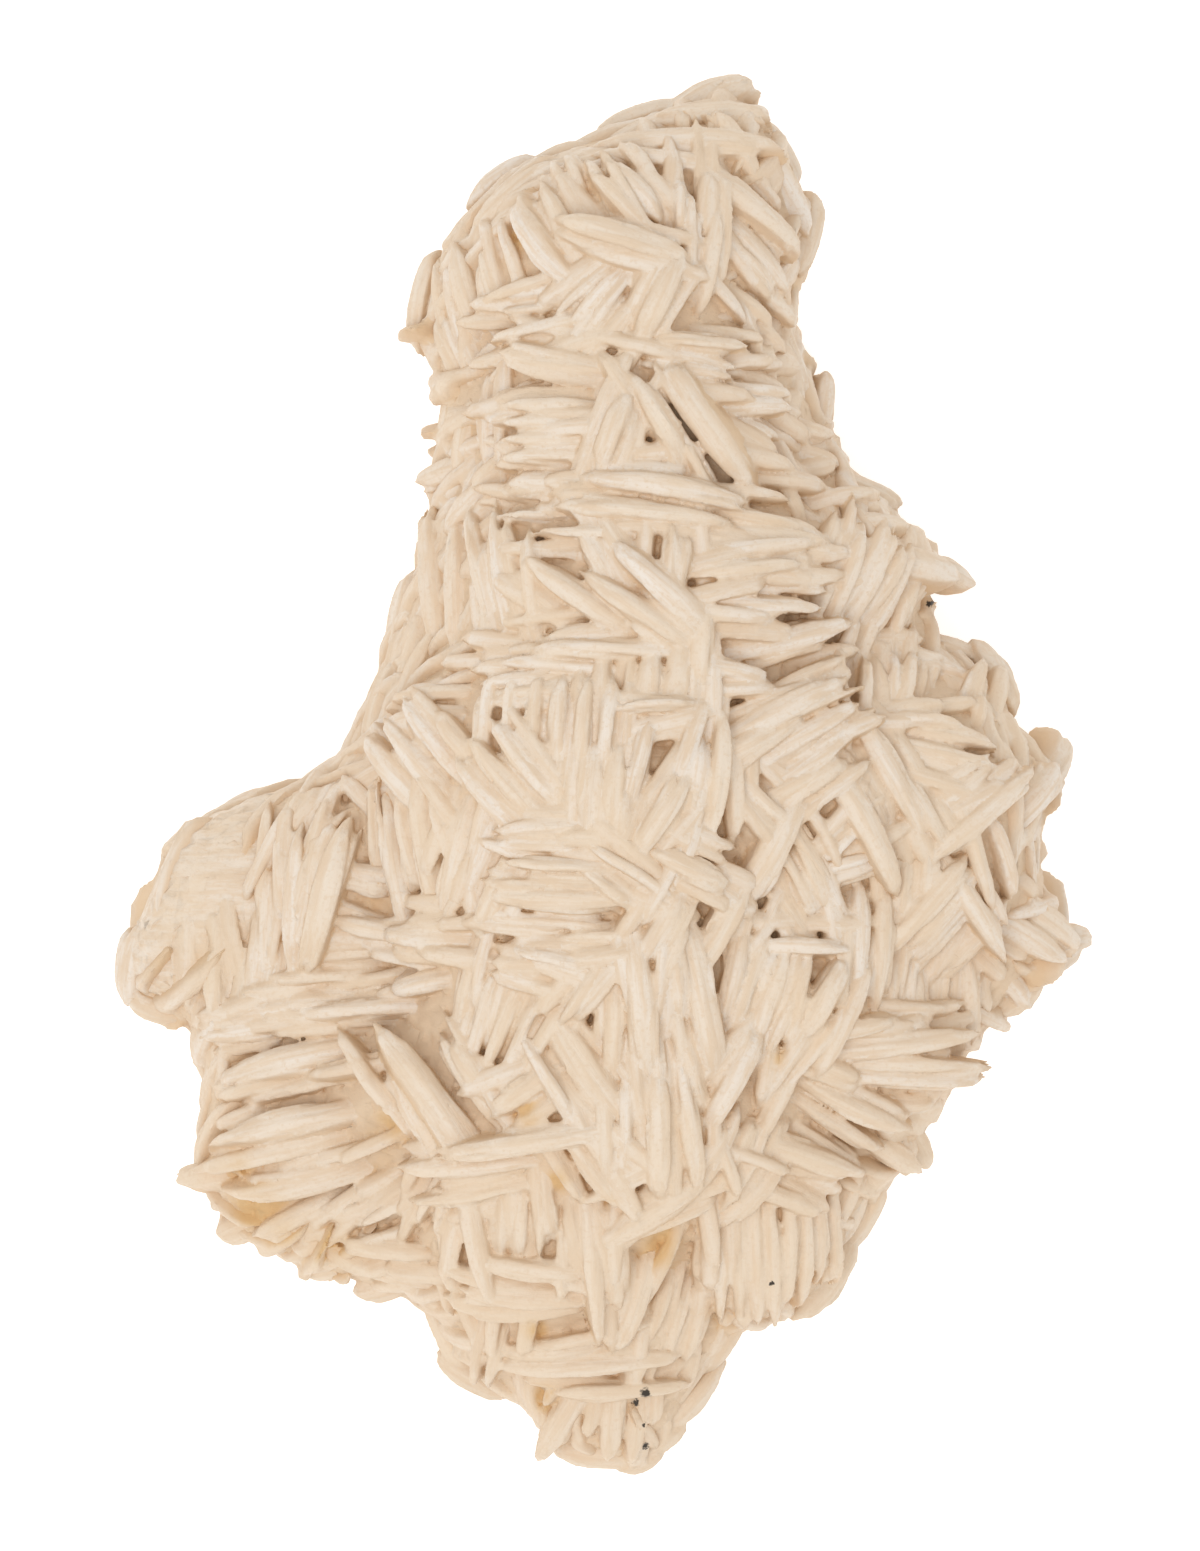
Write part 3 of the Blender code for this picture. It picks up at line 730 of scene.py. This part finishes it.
def side_growths(mesh, spacing, chance):
    """Blades over the sides and the underside, in patches that share a heading."""
    points = scattered_points(mesh, spacing, chance)
    patches = KDTree(len(points))
    headings = []
    for point, _ in chance.sample(points, max(1, len(points) // PATCH_BLADES)):
        patches.insert(point, len(headings))
        headings.append(Vector((chance.gauss(0, 1), chance.gauss(0, 1), chance.gauss(0, 1))))
    patches.balance()
    worn = nearness(WORN)
    for point, facing in points:
        if facing.z > 0.0 and worn(point) > WORN_BARE:
            continue
        heading = headings[patches.find(point)[1]]
        along = heading - facing * heading.dot(facing)
        turn = Quaternion(facing, math.radians(chance.gauss(0.0, SIDE_TURN)))
        along = turn @ along.normalized()
        half_length = chance.uniform(*SIDE_LENGTH) * VIEW_UNIT / 2
        crest = point + facing * chance.uniform(*SIDE_RISE) * MM
        yield Growth(
            blade_frame(crest, along, facing), half_length, chance.uniform(*SIDE_WIDTH) * VIEW_UNIT / 2,
            BLADE_DEPTH_SHARE * half_length, chance.uniform(*FULLNESS), chance.random(),
            chance.uniform(*SIDE_RISE), SMALL_RINGS, SMALL_SIDES,
        )


def section(share):
    """How far out and down the blade's skin is, in half widths, at a share of the way to its root."""
    if abs(share) > SHOULDER_SHARE:
        return 1.0, None
    out = abs(share) / SHOULDER_SHARE
    return out, out ** SHOULDER_POWER * (STEEP_DROP if share > 0.0 else SHALLOW_DROP)


def folded(growth, run, fold):
    """A grid point laid over the blade: run goes from tip to tip, fold from root over the crest to root."""
    outline = max(0.0, 1.0 - abs(run) ** growth.fullness)
    fall = growth.depth * (1.0 - math.sqrt(max(0.0, 1.0 - run * run)))
    side, drop = section(fold)
    x = run * growth.half_length
    y = math.copysign(side * outline * growth.half_width, fold) if fold else 0.0
    if drop is None:
        return Vector((x, y, -growth.depth - BLADE_BURIED))
    return Vector((x, y, -fall - drop * growth.half_width * outline))


def blade_mesh(growth, number, wobble):
    """One closed blade, its faces marked with the blade's number."""
    shape = bmesh.new()
    mark = shape.faces.layers.int.new("blade")
    bmesh.ops.create_grid(shape, x_segments=growth.rings, y_segments=growth.sides, size=1.0)
    offset = blade_offset(growth)
    tips = []
    for vert in shape.verts:
        if abs(vert.co.x) > TIP:
            tips.append(vert)
        spot = growth.frame @ folded(growth, vert.co.x, vert.co.y)
        vert.co = spot + noise.noise_vector(spot / WOBBLE_SIZE + offset) * wobble
    bmesh.ops.remove_doubles(shape, verts=tips, dist=WELD_DISTANCE)
    close_holes(shape)
    bmesh.ops.recalc_face_normals(shape, faces=shape.faces)
    for face in shape.faces:
        face[mark] = number
    return kept_mesh(shape, "blade")


def blade_offset(growth):
    return Vector((1.0, 1.0, 1.0)) * growth.tone * OFFSET_SPAN


def half_core(core, side):
    """The part of the body above (side 1) or below (side -1) the split of the display face, closed."""
    shape = bmesh.new()
    shape.from_mesh(core)
    split = place(VIEW_MIDDLE_X, SPLIT_Y, VIEW_LEVEL) - Vector((0.0, side * SPLIT_OVERLAP, 0.0))
    bmesh.ops.bisect_plane(
        shape, geom=[*shape.verts, *shape.edges, *shape.faces], plane_co=split, plane_no=(0.0, -side, 0.0),
        clear_outer=True,
    )
    close_holes(shape)
    return kept_mesh(shape, "half_core")


def grown_skin(name, growths, core, sizes, voxel):
    """The blades, and the core if there is one, under one closed skin that is cut flat at its foot."""
    shape = bmesh.new()
    mark = shape.faces.layers.int.new("blade")
    if core:
        shape.from_mesh(core)
        mark = shape.faces.layers.int["blade"]
        for face in shape.faces:
            face[mark] = len(growths)
    for number, growth in enumerate(growths):
        blade = blade_mesh(growth, number, sizes.wobble)
        shape.from_mesh(blade)
        bpy.data.meshes.remove(blade)
    rough = bpy.data.meshes.new(name)
    shape.to_mesh(rough)
    skin = add_object(name, rough, cluster_collection())
    add_skin(skin, voxel, SKIN_SMOOTHING)
    slab = floor_cutter(SKIN_LIFTS[name], cluster_collection())
    cut = skin.modifiers.new("rest_flat", "BOOLEAN")
    cut.operation = "DIFFERENCE"
    cut.solver = "MANIFOLD"
    cut.object = slab
    bpy.context.view_layer.update()
    whole = skin.evaluated_get(bpy.context.evaluated_depsgraph_get()).data
    count = sum(len(face.vertices) - 2 for face in whole.polygons)
    if count > MOST_TRIANGLES:
        thin = skin.modifiers.new("thin_out", "DECIMATE")
        thin.ratio = MOST_TRIANGLES / count
    mesh = finished_mesh(skin)
    bpy.data.objects.remove(slab, do_unlink=True)
    add_grain(mesh, shape, mark, growths)
    shape.free()
    return mesh


def nearness(spots):
    """A function that tells how near a point is to the nearest of the spots, from 0 to 1."""
    nearest = tree_of_readings(spots)

    def near(point):
        at = reading(point)
        return max(
            max(0.0, 1.0 - away / spots[index].reach / PIT_REACH)
            for _, index, away in nearest.find_n((at.x, at.y, 0.0), NEAREST_SPOTS)
        )

    return near


def add_grain(mesh, shape, mark, growths):
    """Stores each point's place on its own blade, and runs fine ridges along the blades."""
    shape.faces.ensure_lookup_table()
    tree = BVHTree.FromBMesh(shape)
    inward = [Matrix.Scale(1.0 / MM, 4) @ growth.frame.inverted() for growth in growths]
    inward.append(Matrix.Scale(1.0 / MM, 4))
    offsets = [blade_offset(growth) for growth in growths] + [Vector((0.0, 0.0, 0.0))]
    grain = []
    points = [vert.co.copy() for vert in mesh.vertices]
    for face in mesh.polygons:
        number = shape.faces[tree.find_nearest(face.center)[2]][mark]
        for index in face.vertices:
            grain += list(inward[number] @ points[index] + offsets[number])
    layer = mesh.attributes.new("grain", "FLOAT_VECTOR", "CORNER")
    layer.data.foreach_set("vector", grain)

    pit, stain, worn = nearness(PITS), nearness(STAINS), nearness(WORN)
    tone_and_shade_depth, pit_shade_and_stain = [], []
    normals = [vert.normal.copy() for vert in mesh.vertices]
    for vert, normal in zip(mesh.vertices, normals):
        number = shape.faces[tree.find_nearest(vert.co)[2]][mark]
        facing = max(0.0, normal.z)
        normal *= min(1.0, max(0.0, vert.co.z) / FOOT_ROUNDING)
        in_pit = pit(vert.co) * facing
        # Nearness to a pit, which paints shade into the pits, and the real stains.
        pit_shade_and_stain += (in_pit, stain(vert.co) * facing, 0.0)
        if number == len(growths):
            # The bare body counts as lying deep under the crests, which paints shade on it, except at the
            # worn places.
            tone_and_shade_depth += (CORE_TONE, 1.0 - min(1.0, WORN_EDGE * worn(vert.co)), CORE_UNDER)
            vert.co += normal * (noise.noise(vert.co / CORE_GRAIN) * CORE_RELIEF - in_pit * PIT_DEPTH)
            continue
        growth = growths[number]
        own = inward[number] @ vert.co
        run = min(1.0, abs(own.x) * MM / growth.half_length)
        fall = growth.depth * (1.0 - math.sqrt(1.0 - run * run)) / MM
        # The tone, and the depth under the own crest and under the neighbours, by which shade is painted on
        # the flanks and in the gaps.
        tone_and_shade_depth += (growth.tone, max(0.0, -own.z - fall), growth.under)
        ridge = noise.noise(Vector((own.x * RIDGE_ALONG, own.y * RIDGE_ACROSS, own.z)) + offsets[number])
        vert.co += normal * ridge * RIDGE_DEPTH
        if growth.under:
            vert.co -= normal * in_pit * PIT_DEPTH
    for name, values in (("tone_and_shade_depth", tone_and_shade_depth), ("pit_shade_and_stain", pit_shade_and_stain)):
        layer = mesh.attributes.new(name, "FLOAT_VECTOR", "POINT")
        layer.data.foreach_set("vector", values)


def floor_cutter(lift, collection):
    """A slab under a level, which leaves the small flat spot that the cluster rests on."""
    shape = bmesh.new()
    under = Matrix.Translation((0.0, 0.0, lift - FLOOR_SLAB / 2))
    bmesh.ops.create_cube(shape, size=FLOOR_SLAB, matrix=under)
    return add_object("floor_cutter", kept_mesh(shape, "floor_cutter"), collection)


def look_directions(count):
    """Directions over a half ball round +Z, denser towards its top."""
    golden = math.pi * (3.0 - math.sqrt(5.0))
    for index in range(count):
        height = math.sqrt((index + 0.5) / count)
        radius = math.sqrt(1.0 - height * height)
        yield Vector((math.cos(golden * index) * radius, math.sin(golden * index) * radius, height))


def tree_of_all(meshes):
    """One search tree over all the meshes."""
    points, corners = [], []
    for mesh in meshes:
        first = len(points)
        points += [vert.co.copy() for vert in mesh.vertices]
        corners += [[first + index for index in face.vertices] for face in mesh.polygons]
    return BVHTree.FromPolygons(points, corners)


def add_openness(mesh, tree, sizes):
    """Stores how open each point's surroundings are, from 0 in a closed crevice to 1 on a free crest. The
    stone's colour paints shade into the crevices by it.
    """
    rays = list(look_directions(sizes.cavity_rays))
    reach = sizes.cavity_reach
    up = Vector((0.0, 0.0, 1.0))
    values = []
    for vert in mesh.vertices:
        turn = up.rotation_difference(vert.normal)
        start = vert.co + vert.normal * START_OFF
        total = 0.0
        for ray in rays:
            far = tree.ray_cast(start, turn @ ray, reach)[3]
            total += 1.0 if far is None else far / reach
        values.append(total / len(rays))
    layer = mesh.attributes.new("openness", "FLOAT", "POINT")
    layer.data.foreach_set("value", values)


def shape_node(tree, kind, inputs, **settings):
    """A shader node with its plain settings, its inputs linked to sockets or set to values."""
    node = tree.nodes.new(kind)
    for name, value in settings.items():
        setattr(node, name, value)
    for name, value in inputs.items():
        if isinstance(value, bpy.types.NodeSocket):
            tree.links.new(value, node.inputs[name])
        else:
            node.inputs[name].default_value = value
    return node


def colour(value):
    return (*value, 1.0)


def blend_colour(tree, share, first, second):
    """The first colour, blended into the second by the share."""
    inputs = {BLEND_SHARE: share, BLEND_FIRST: first, BLEND_SECOND: second}
    return shape_node(tree, "ShaderNodeMix", inputs, data_type="RGBA").outputs[BLEND_RESULT]


def spread(tree, value, low, high, to_low=0.0, to_high=1.0):
    """A value eased from one range to another."""
    inputs = {"Value": value, "From Min": low, "From Max": high, "To Min": to_low, "To Max": to_high}
    return shape_node(tree, "ShaderNodeMapRange", inputs, interpolation_type="SMOOTHSTEP").outputs["Result"]


def combined(tree, operation, first, second):
    return shape_node(tree, "ShaderNodeMath", {0: first, 1: second}, operation=operation).outputs[0]


def scaled(tree, vector, scales):
    node = shape_node(tree, "ShaderNodeVectorMath", {0: vector, 1: scales}, operation="MULTIPLY")
    return node.outputs["Vector"]


def pattern(tree, vector, settings):
    return shape_node(tree, "ShaderNodeTexNoise", {"Vector": vector, **settings}).outputs["Fac"]


def stored(tree, name, output="Vector"):
    """What a mesh attribute holds."""
    return shape_node(tree, "ShaderNodeAttribute", {}, attribute_name=name).outputs[output]


def parts_of(tree, vector):
    return shape_node(tree, "ShaderNodeSeparateXYZ", {"Vector": vector}).outputs


def speck_mask(tree, where, grains):
    """1 on the few ragged black specks and 0 elsewhere."""
    flat = scaled(tree, where, (1.0, 1.0, 0.0))
    rags = spread(tree, grains, 0.3, 0.7, -SPECK_RAGS, SPECK_RAGS)
    mask = 0.0
    for speck in SPECKS:
        middle = place(speck.x, speck.y, SPECK_LEVEL)
        ends = {0: flat, 1: (middle.x, middle.y, 0.0)}
        away = shape_node(tree, "ShaderNodeVectorMath", ends, operation="DISTANCE").outputs["Value"]
        reach = speck.reach * VIEW_UNIT
        inside = spread(tree, combined(tree, "ADD", away, rags), reach, reach * SPECK_CORE)
        mask = combined(tree, "MAXIMUM", mask, inside)
    return mask


def stone_colour(tree, colours, where, streaks, grains):
    """The stone's coats of colour, from the crests down to the pits, with painted shade on the flanks, in the
    gaps and in the pits.
    """
    clouds = pattern(tree, where, CLOUDS)
    openness = stored(tree, "openness", "Fac")
    tone_and_shade_depth = parts_of(tree, stored(tree, "tone_and_shade_depth"))
    pit_shade_and_stain = parts_of(tree, stored(tree, "pit_shade_and_stain"))
    # How deep a point lies under the crests, with lower blades counted deeper. It paints shade on the flanks
    # and in the gaps, and gathers the real stains into the recesses.
    under = combined(tree, "MULTIPLY", tone_and_shade_depth["Z"], UNDER_SHARE)
    below = combined(tree, "ADD", tone_and_shade_depth["Y"], under)
    # Painted shade in the pits: near a pit, where the surroundings are closed.
    pit_shade_share = combined(tree, "MULTIPLY", pit_shade_and_stain["X"], spread(tree, openness, 0.7, 0.3))
    stained = combined(tree, "MULTIPLY", pit_shade_and_stain["Y"], spread(tree, clouds, 0.35, 0.6, 0.3, 1.0))
    stained = combined(tree, "MULTIPLY", stained, spread(tree, below, 0.1, 0.9, 0.35, 1.3))
    # Each coat: what brings it on, the values where it starts and is full, its shares there and its colour.
    coats = (
        (parts_of(tree, where)["Y"], (-10 * MM, -50 * MM), (0.0, 0.6), colours.warm),
        # Painted shade: the flanks and the lower blades darken with their depth under the crests.
        (below, (0.05, 0.9), (0.0, 1.0), colours.flank_shade_and_streaks),
        (streaks, (0.38, 0.66), (0.0, 0.85), colours.flank_shade_and_streaks),
        (clouds, (0.42, 0.72), (0.0, 0.6), colours.warm),
        (grains, (0.5, 0.75), (0.0, 0.6), colours.flank_shade_and_streaks),
        # Painted shade: deep under the crests and in closed crevices the colour goes to the gap colour, and
        # in the most closed crevices and in the pits to the pit colour.
        (below, (0.8, 2.2), (0.0, 0.85), colours.gap),
        (openness, (0.52, 0.15), (0.0, 1.0), colours.gap),
        (openness, (0.2, 0.04), (0.0, 0.8), colours.pit),
        (pit_shade_share, (0.05, 0.6), (0.0, 0.8), colours.pit),
        (stained, (0.0, 0.7), (0.0, 0.85), colours.stain),
    )
    skin = blend_colour(tree, tone_and_shade_depth["X"], colour(colours.crest), colour(colours.cool_crest))
    for value, span, shares, coat in coats:
        skin = blend_colour(tree, spread(tree, value, *span, *shares), skin, colour(coat))
    return blend_colour(tree, speck_mask(tree, where, grains), skin, colour(colours.speck))


def stone_material(colours):
    material = bpy.data.materials.new(STONE)
    material.use_nodes = True
    tree = material.node_tree
    shader = tree.nodes["Principled BSDF"]
    where = shape_node(tree, "ShaderNodeTexCoord", {}).outputs["Object"]
    streaks = pattern(tree, scaled(tree, stored(tree, "grain"), STREAK_STRETCH), STREAKS)
    grains = pattern(tree, where, GRAINS)
    tree.links.new(stone_colour(tree, colours, where, streaks, grains), shader.inputs["Base Color"])
    tree.links.new(spread(tree, grains, 0.3, 0.7, *ROUGHNESS), shader.inputs["Roughness"])
    relief = combined(tree, "ADD", streaks, combined(tree, "MULTIPLY", grains, GRAIN_RELIEF))
    bump = shape_node(tree, "ShaderNodeBump", {"Height": relief, **RELIEF})
    tree.links.new(bump.outputs["Normal"], shader.inputs["Normal"])
    shader.inputs["Specular IOR Level"].default_value = SPECULAR
    return material


def length(name, description, millimetres):
    return FloatProperty(name=name, description=description, default=millimetres * MM, unit="LENGTH")


def tint(name, description, *default):
    return FloatVectorProperty(name=name, description=description, default=default, subtype="COLOR")


class ClusterSizes(bpy.types.PropertyGroup):
    """The sizes that change how the cluster grows."""

    display_grain: length("Display grain", "Size of the display skin's faces before thinning", 0.2)
    back_grain: length("Back grain", "Size of the back skin's faces before thinning", 0.36)
    body_sunk: length("Body sunk", "How far the body lies under the blades' footing", 0.1)
    wobble: length("Wobble", "How far a blade's skin strays from a true lens", 0.15)
    side_spacing: length("Side spacing", "Least gap between blades on the sides", 2.6)
    cavity_reach: length("Crevice reach", "How far off a neighbour still shades a crevice", 3.0)
    between_step: IntProperty(
        name="Between step", description="Step between the small blades, in view units", default=18)
    cavity_rays: IntProperty(
        name="Crevice rays", description="Looks taken from each point to see how open it is", default=16)
    seed: IntProperty(name="Seed", description="Start of all random draws", default=7, min=1)


class ClusterColours(bpy.types.PropertyGroup):
    """The stone's colours, from the free crests to the deepest pits, with the painted shade of the flanks,
    gaps and pits.
    """

    crest: tint("Crest", "Free crests, ivory", 0.750, 0.634, 0.505)
    cool_crest: tint("Cool crest", "The paler, cooler crests", 0.775, 0.698, 0.615)
    # Flank: painted shade on the flanks and the lower blades, and also the colour of the streaks and grains.
    flank_shade_and_streaks: tint("Flank", "Flanks of the blades", 0.690, 0.532, 0.378)
    warm: tint("Warm patches", "Warmer clouds over the crests", 0.735, 0.588, 0.430)
    # Gap: painted shade in the narrow gaps and closed crevices.
    gap: tint("Gap", "Narrow gaps between blades", 0.685, 0.500, 0.320)
    # Pit: painted shade in the deepest crevices and in the pits.
    pit: tint("Pit", "The deepest pits", 0.520, 0.350, 0.210)
    stain: tint("Stain", "Orange-tan stains in the foot", 0.650, 0.420, 0.190)
    speck: tint("Speck", "The few black specks", 0.05, 0.04, 0.03)


class StageLook(bpy.types.PropertyGroup):
    """The floor and the light."""

    floor: tint("Floor", "Colour of the floor", 0.95, 0.95, 0.95)
    floor_glow: FloatProperty(
        name="Floor glow", description="Light from below, as off a light table", default=0.45)
    sky: FloatProperty(name="Sky", description="Strength of the even light from all round", default=0.77)
    key: FloatProperty(
        name="Key", description="Power of the large soft light overhead", default=3.0, unit="POWER")


def add_piece(name, mesh):
    """A finished piece of the cluster, which stands for the plain solid."""
    material = bpy.data.materials.get(STONE) or stone_material(bpy.context.scene.cluster_colours)
    mesh.materials.clear()
    mesh.materials.append(material)
    mesh.shade_smooth()
    mesh.set_sharp_from_angle(angle=SHARP_ANGLE)
    piece = add_object(name, mesh, cluster_collection())
    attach(piece, "root")
    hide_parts(NODE)


def seeded(seed):
    """A source of random draws. The offset of noise_vector is set too, or Blender takes it from the clock."""
    noise.seed_set(seed)
    return random.Random(seed)


class CLUSTER_OT_display(bpy.types.Operator):
    """Grow the body with the blades of the display face as one skin"""

    bl_idname = "cluster.display"
    bl_label = "Grow Display Face"

    def execute(self, context):
        sizes = context.scene.cluster_sizes
        chance = seeded(sizes.seed)
        core = body_mesh(cluster_collection(), FOOTING_GRAIN)
        tree = tree_of(core)
        blades = [blade for zone in ZONES.values() for stack in zone for blade in blades_of(Blade(*stack))]
        growths = [read_growth(tree, blade, chance) for blade in blades]
        growths += [plate for growth in growths for plate in side_plates(growth, chance)]
        growths += between_growths(tree, blades, sizes.between_step, chance)
        for vert in core.vertices:
            vert.co -= vert.normal * sizes.body_sunk
        split = place(VIEW_MIDDLE_X, SPLIT_Y, VIEW_LEVEL).y
        for name, side in (("upper_face", 1), ("lower_face", -1)):
            own = [growth for growth in growths if (growth.frame.translation.y - split) * side > 0.0]
            half = half_core(core, side)
            add_piece(name, grown_skin(name, own, half, sizes, sizes.display_grain))
        return {"FINISHED"}


class CLUSTER_OT_back(bpy.types.Operator):
    """Grow the blades of the sides and the underside as one skin"""

    bl_idname = "cluster.back"
    bl_label = "Grow Sides and Underside"

    def execute(self, context):
        sizes = context.scene.cluster_sizes
        chance = seeded(sizes.seed)
        footing = body_mesh(cluster_collection(), FOOTING_GRAIN)
        growths = list(side_growths(footing, sizes.side_spacing, chance))
        add_piece("back_face", grown_skin("back_face", growths, None, sizes, sizes.back_grain))
        return {"FINISHED"}


class CLUSTER_OT_crevices(bpy.types.Operator):
    """Find how open the surroundings of each point are, by which the stone's colour paints shade into the
    crevices
    """

    bl_idname = "cluster.crevices"
    bl_label = "Find Crevices"

    def execute(self, context):
        meshes = [piece.data for piece in cluster_collection().objects]
        tree = tree_of_all(meshes)
        for mesh in meshes:
            add_openness(mesh, tree, context.scene.cluster_sizes)
        return {"FINISHED"}


class CLUSTER_OT_stage(bpy.types.Operator):
    """Add the floor, the soft light and the camera that looks straight down"""

    bl_idname = "cluster.stage"
    bl_label = "Set Stage"

    def execute(self, context):
        look = context.scene.stage_look
        stage = new_collection("stage")
        add_floor(look, stage)
        add_light(context.scene, look, stage)
        add_camera(context.scene, stage)
        return {"FINISHED"}


def add_floor(look, collection):
    shape = bmesh.new()
    bmesh.ops.create_grid(shape, x_segments=1, y_segments=1, size=FLOOR_HALF)
    mesh = kept_mesh(shape, "floor")
    material = bpy.data.materials.new("pale_floor")
    material.use_nodes = True
    shader = material.node_tree.nodes["Principled BSDF"]
    shader.inputs["Base Color"].default_value = colour(look.floor)
    shader.inputs["Roughness"].default_value = FLOOR_ROUGHNESS
    shader.inputs["Emission Color"].default_value = colour(look.floor)
    shader.inputs["Emission Strength"].default_value = look.floor_glow
    mesh.materials.append(material)
    add_object("floor", mesh, collection)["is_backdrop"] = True


def add_light(scene, look, collection):
    world = bpy.data.worlds.new("even_light")
    world.use_nodes = True
    back = world.node_tree.nodes["Background"]
    back.inputs["Color"].default_value = WHITE
    back.inputs["Strength"].default_value = look.sky
    scene.world = world
    lamp = bpy.data.lights.new("soft_key", "AREA")
    lamp.shape = "DISK"
    lamp.size = KEY_SIZE
    lamp.energy = look.key
    key = add_object("soft_key", lamp, collection)
    key.location = KEY_PLACE
    key.rotation_euler = (Vector((0.0, 0.0, VIEW_LEVEL)) - key.location).to_track_quat("-Z", "Y").to_euler()
    scene.view_settings.view_transform = "Standard"


def add_camera(scene, collection):
    """Looks straight down, with the view's frame exact at the view's level."""
    lens = bpy.data.cameras.new("view")
    lens.sensor_fit = "VERTICAL"
    lens.sensor_height = SENSOR_HEIGHT
    lens.lens = SENSOR_HEIGHT * VIEW_DISTANCE / (VIEW_HEIGHT * VIEW_UNIT)
    lens.clip_start = 10.0 * MM
    camera = add_object("view", lens, collection)
    camera.location = place(VIEW_WIDTH / 2, VIEW_HEIGHT / 2, VIEW_LEVEL) + Vector((0.0, 0.0, VIEW_DISTANCE))
    scene.camera = camera


class CLUSTER_PT_steps(bpy.types.Panel):
    """Lists the steps in the sidebar"""

    bl_label = "Bladed Crystal Cluster"
    bl_space_type = "VIEW_3D"
    bl_region_type = "UI"
    bl_category = "Cluster"

    def draw(self, context):
        for group in (context.scene.cluster_sizes, context.scene.cluster_colours, context.scene.stage_look):
            for name in group.__annotations__:
                self.layout.prop(group, name)
        for operator in STEPS:
            self.layout.operator(operator.bl_idname)


GROUPS = {"cluster_sizes": ClusterSizes, "cluster_colours": ClusterColours, "stage_look": StageLook}
STEPS = (CLUSTER_OT_display, CLUSTER_OT_back, CLUSTER_OT_crevices, CLUSTER_OT_stage)


def register():
    for group in (*GROUPS.values(), *STEPS, CLUSTER_PT_steps):
        bpy.utils.register_class(group)
    for name, group in GROUPS.items():
        setattr(bpy.types.Scene, name, PointerProperty(type=group))


def unregister():
    for name in GROUPS:
        delattr(bpy.types.Scene, name)
    for group in (CLUSTER_PT_steps, *STEPS, *GROUPS.values()):
        bpy.utils.unregister_class(group)


def main():
    register()
    bpy.ops.cluster.display()
    bpy.ops.cluster.back()
    bpy.ops.cluster.crevices()
    bpy.ops.cluster.stage()
    boxes = {"cad": CAD_BOX, "visual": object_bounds()}
    {name: [list(corner) for corner in box] for name, box in boxes.items()}


if __name__ == "__main__":
    main()
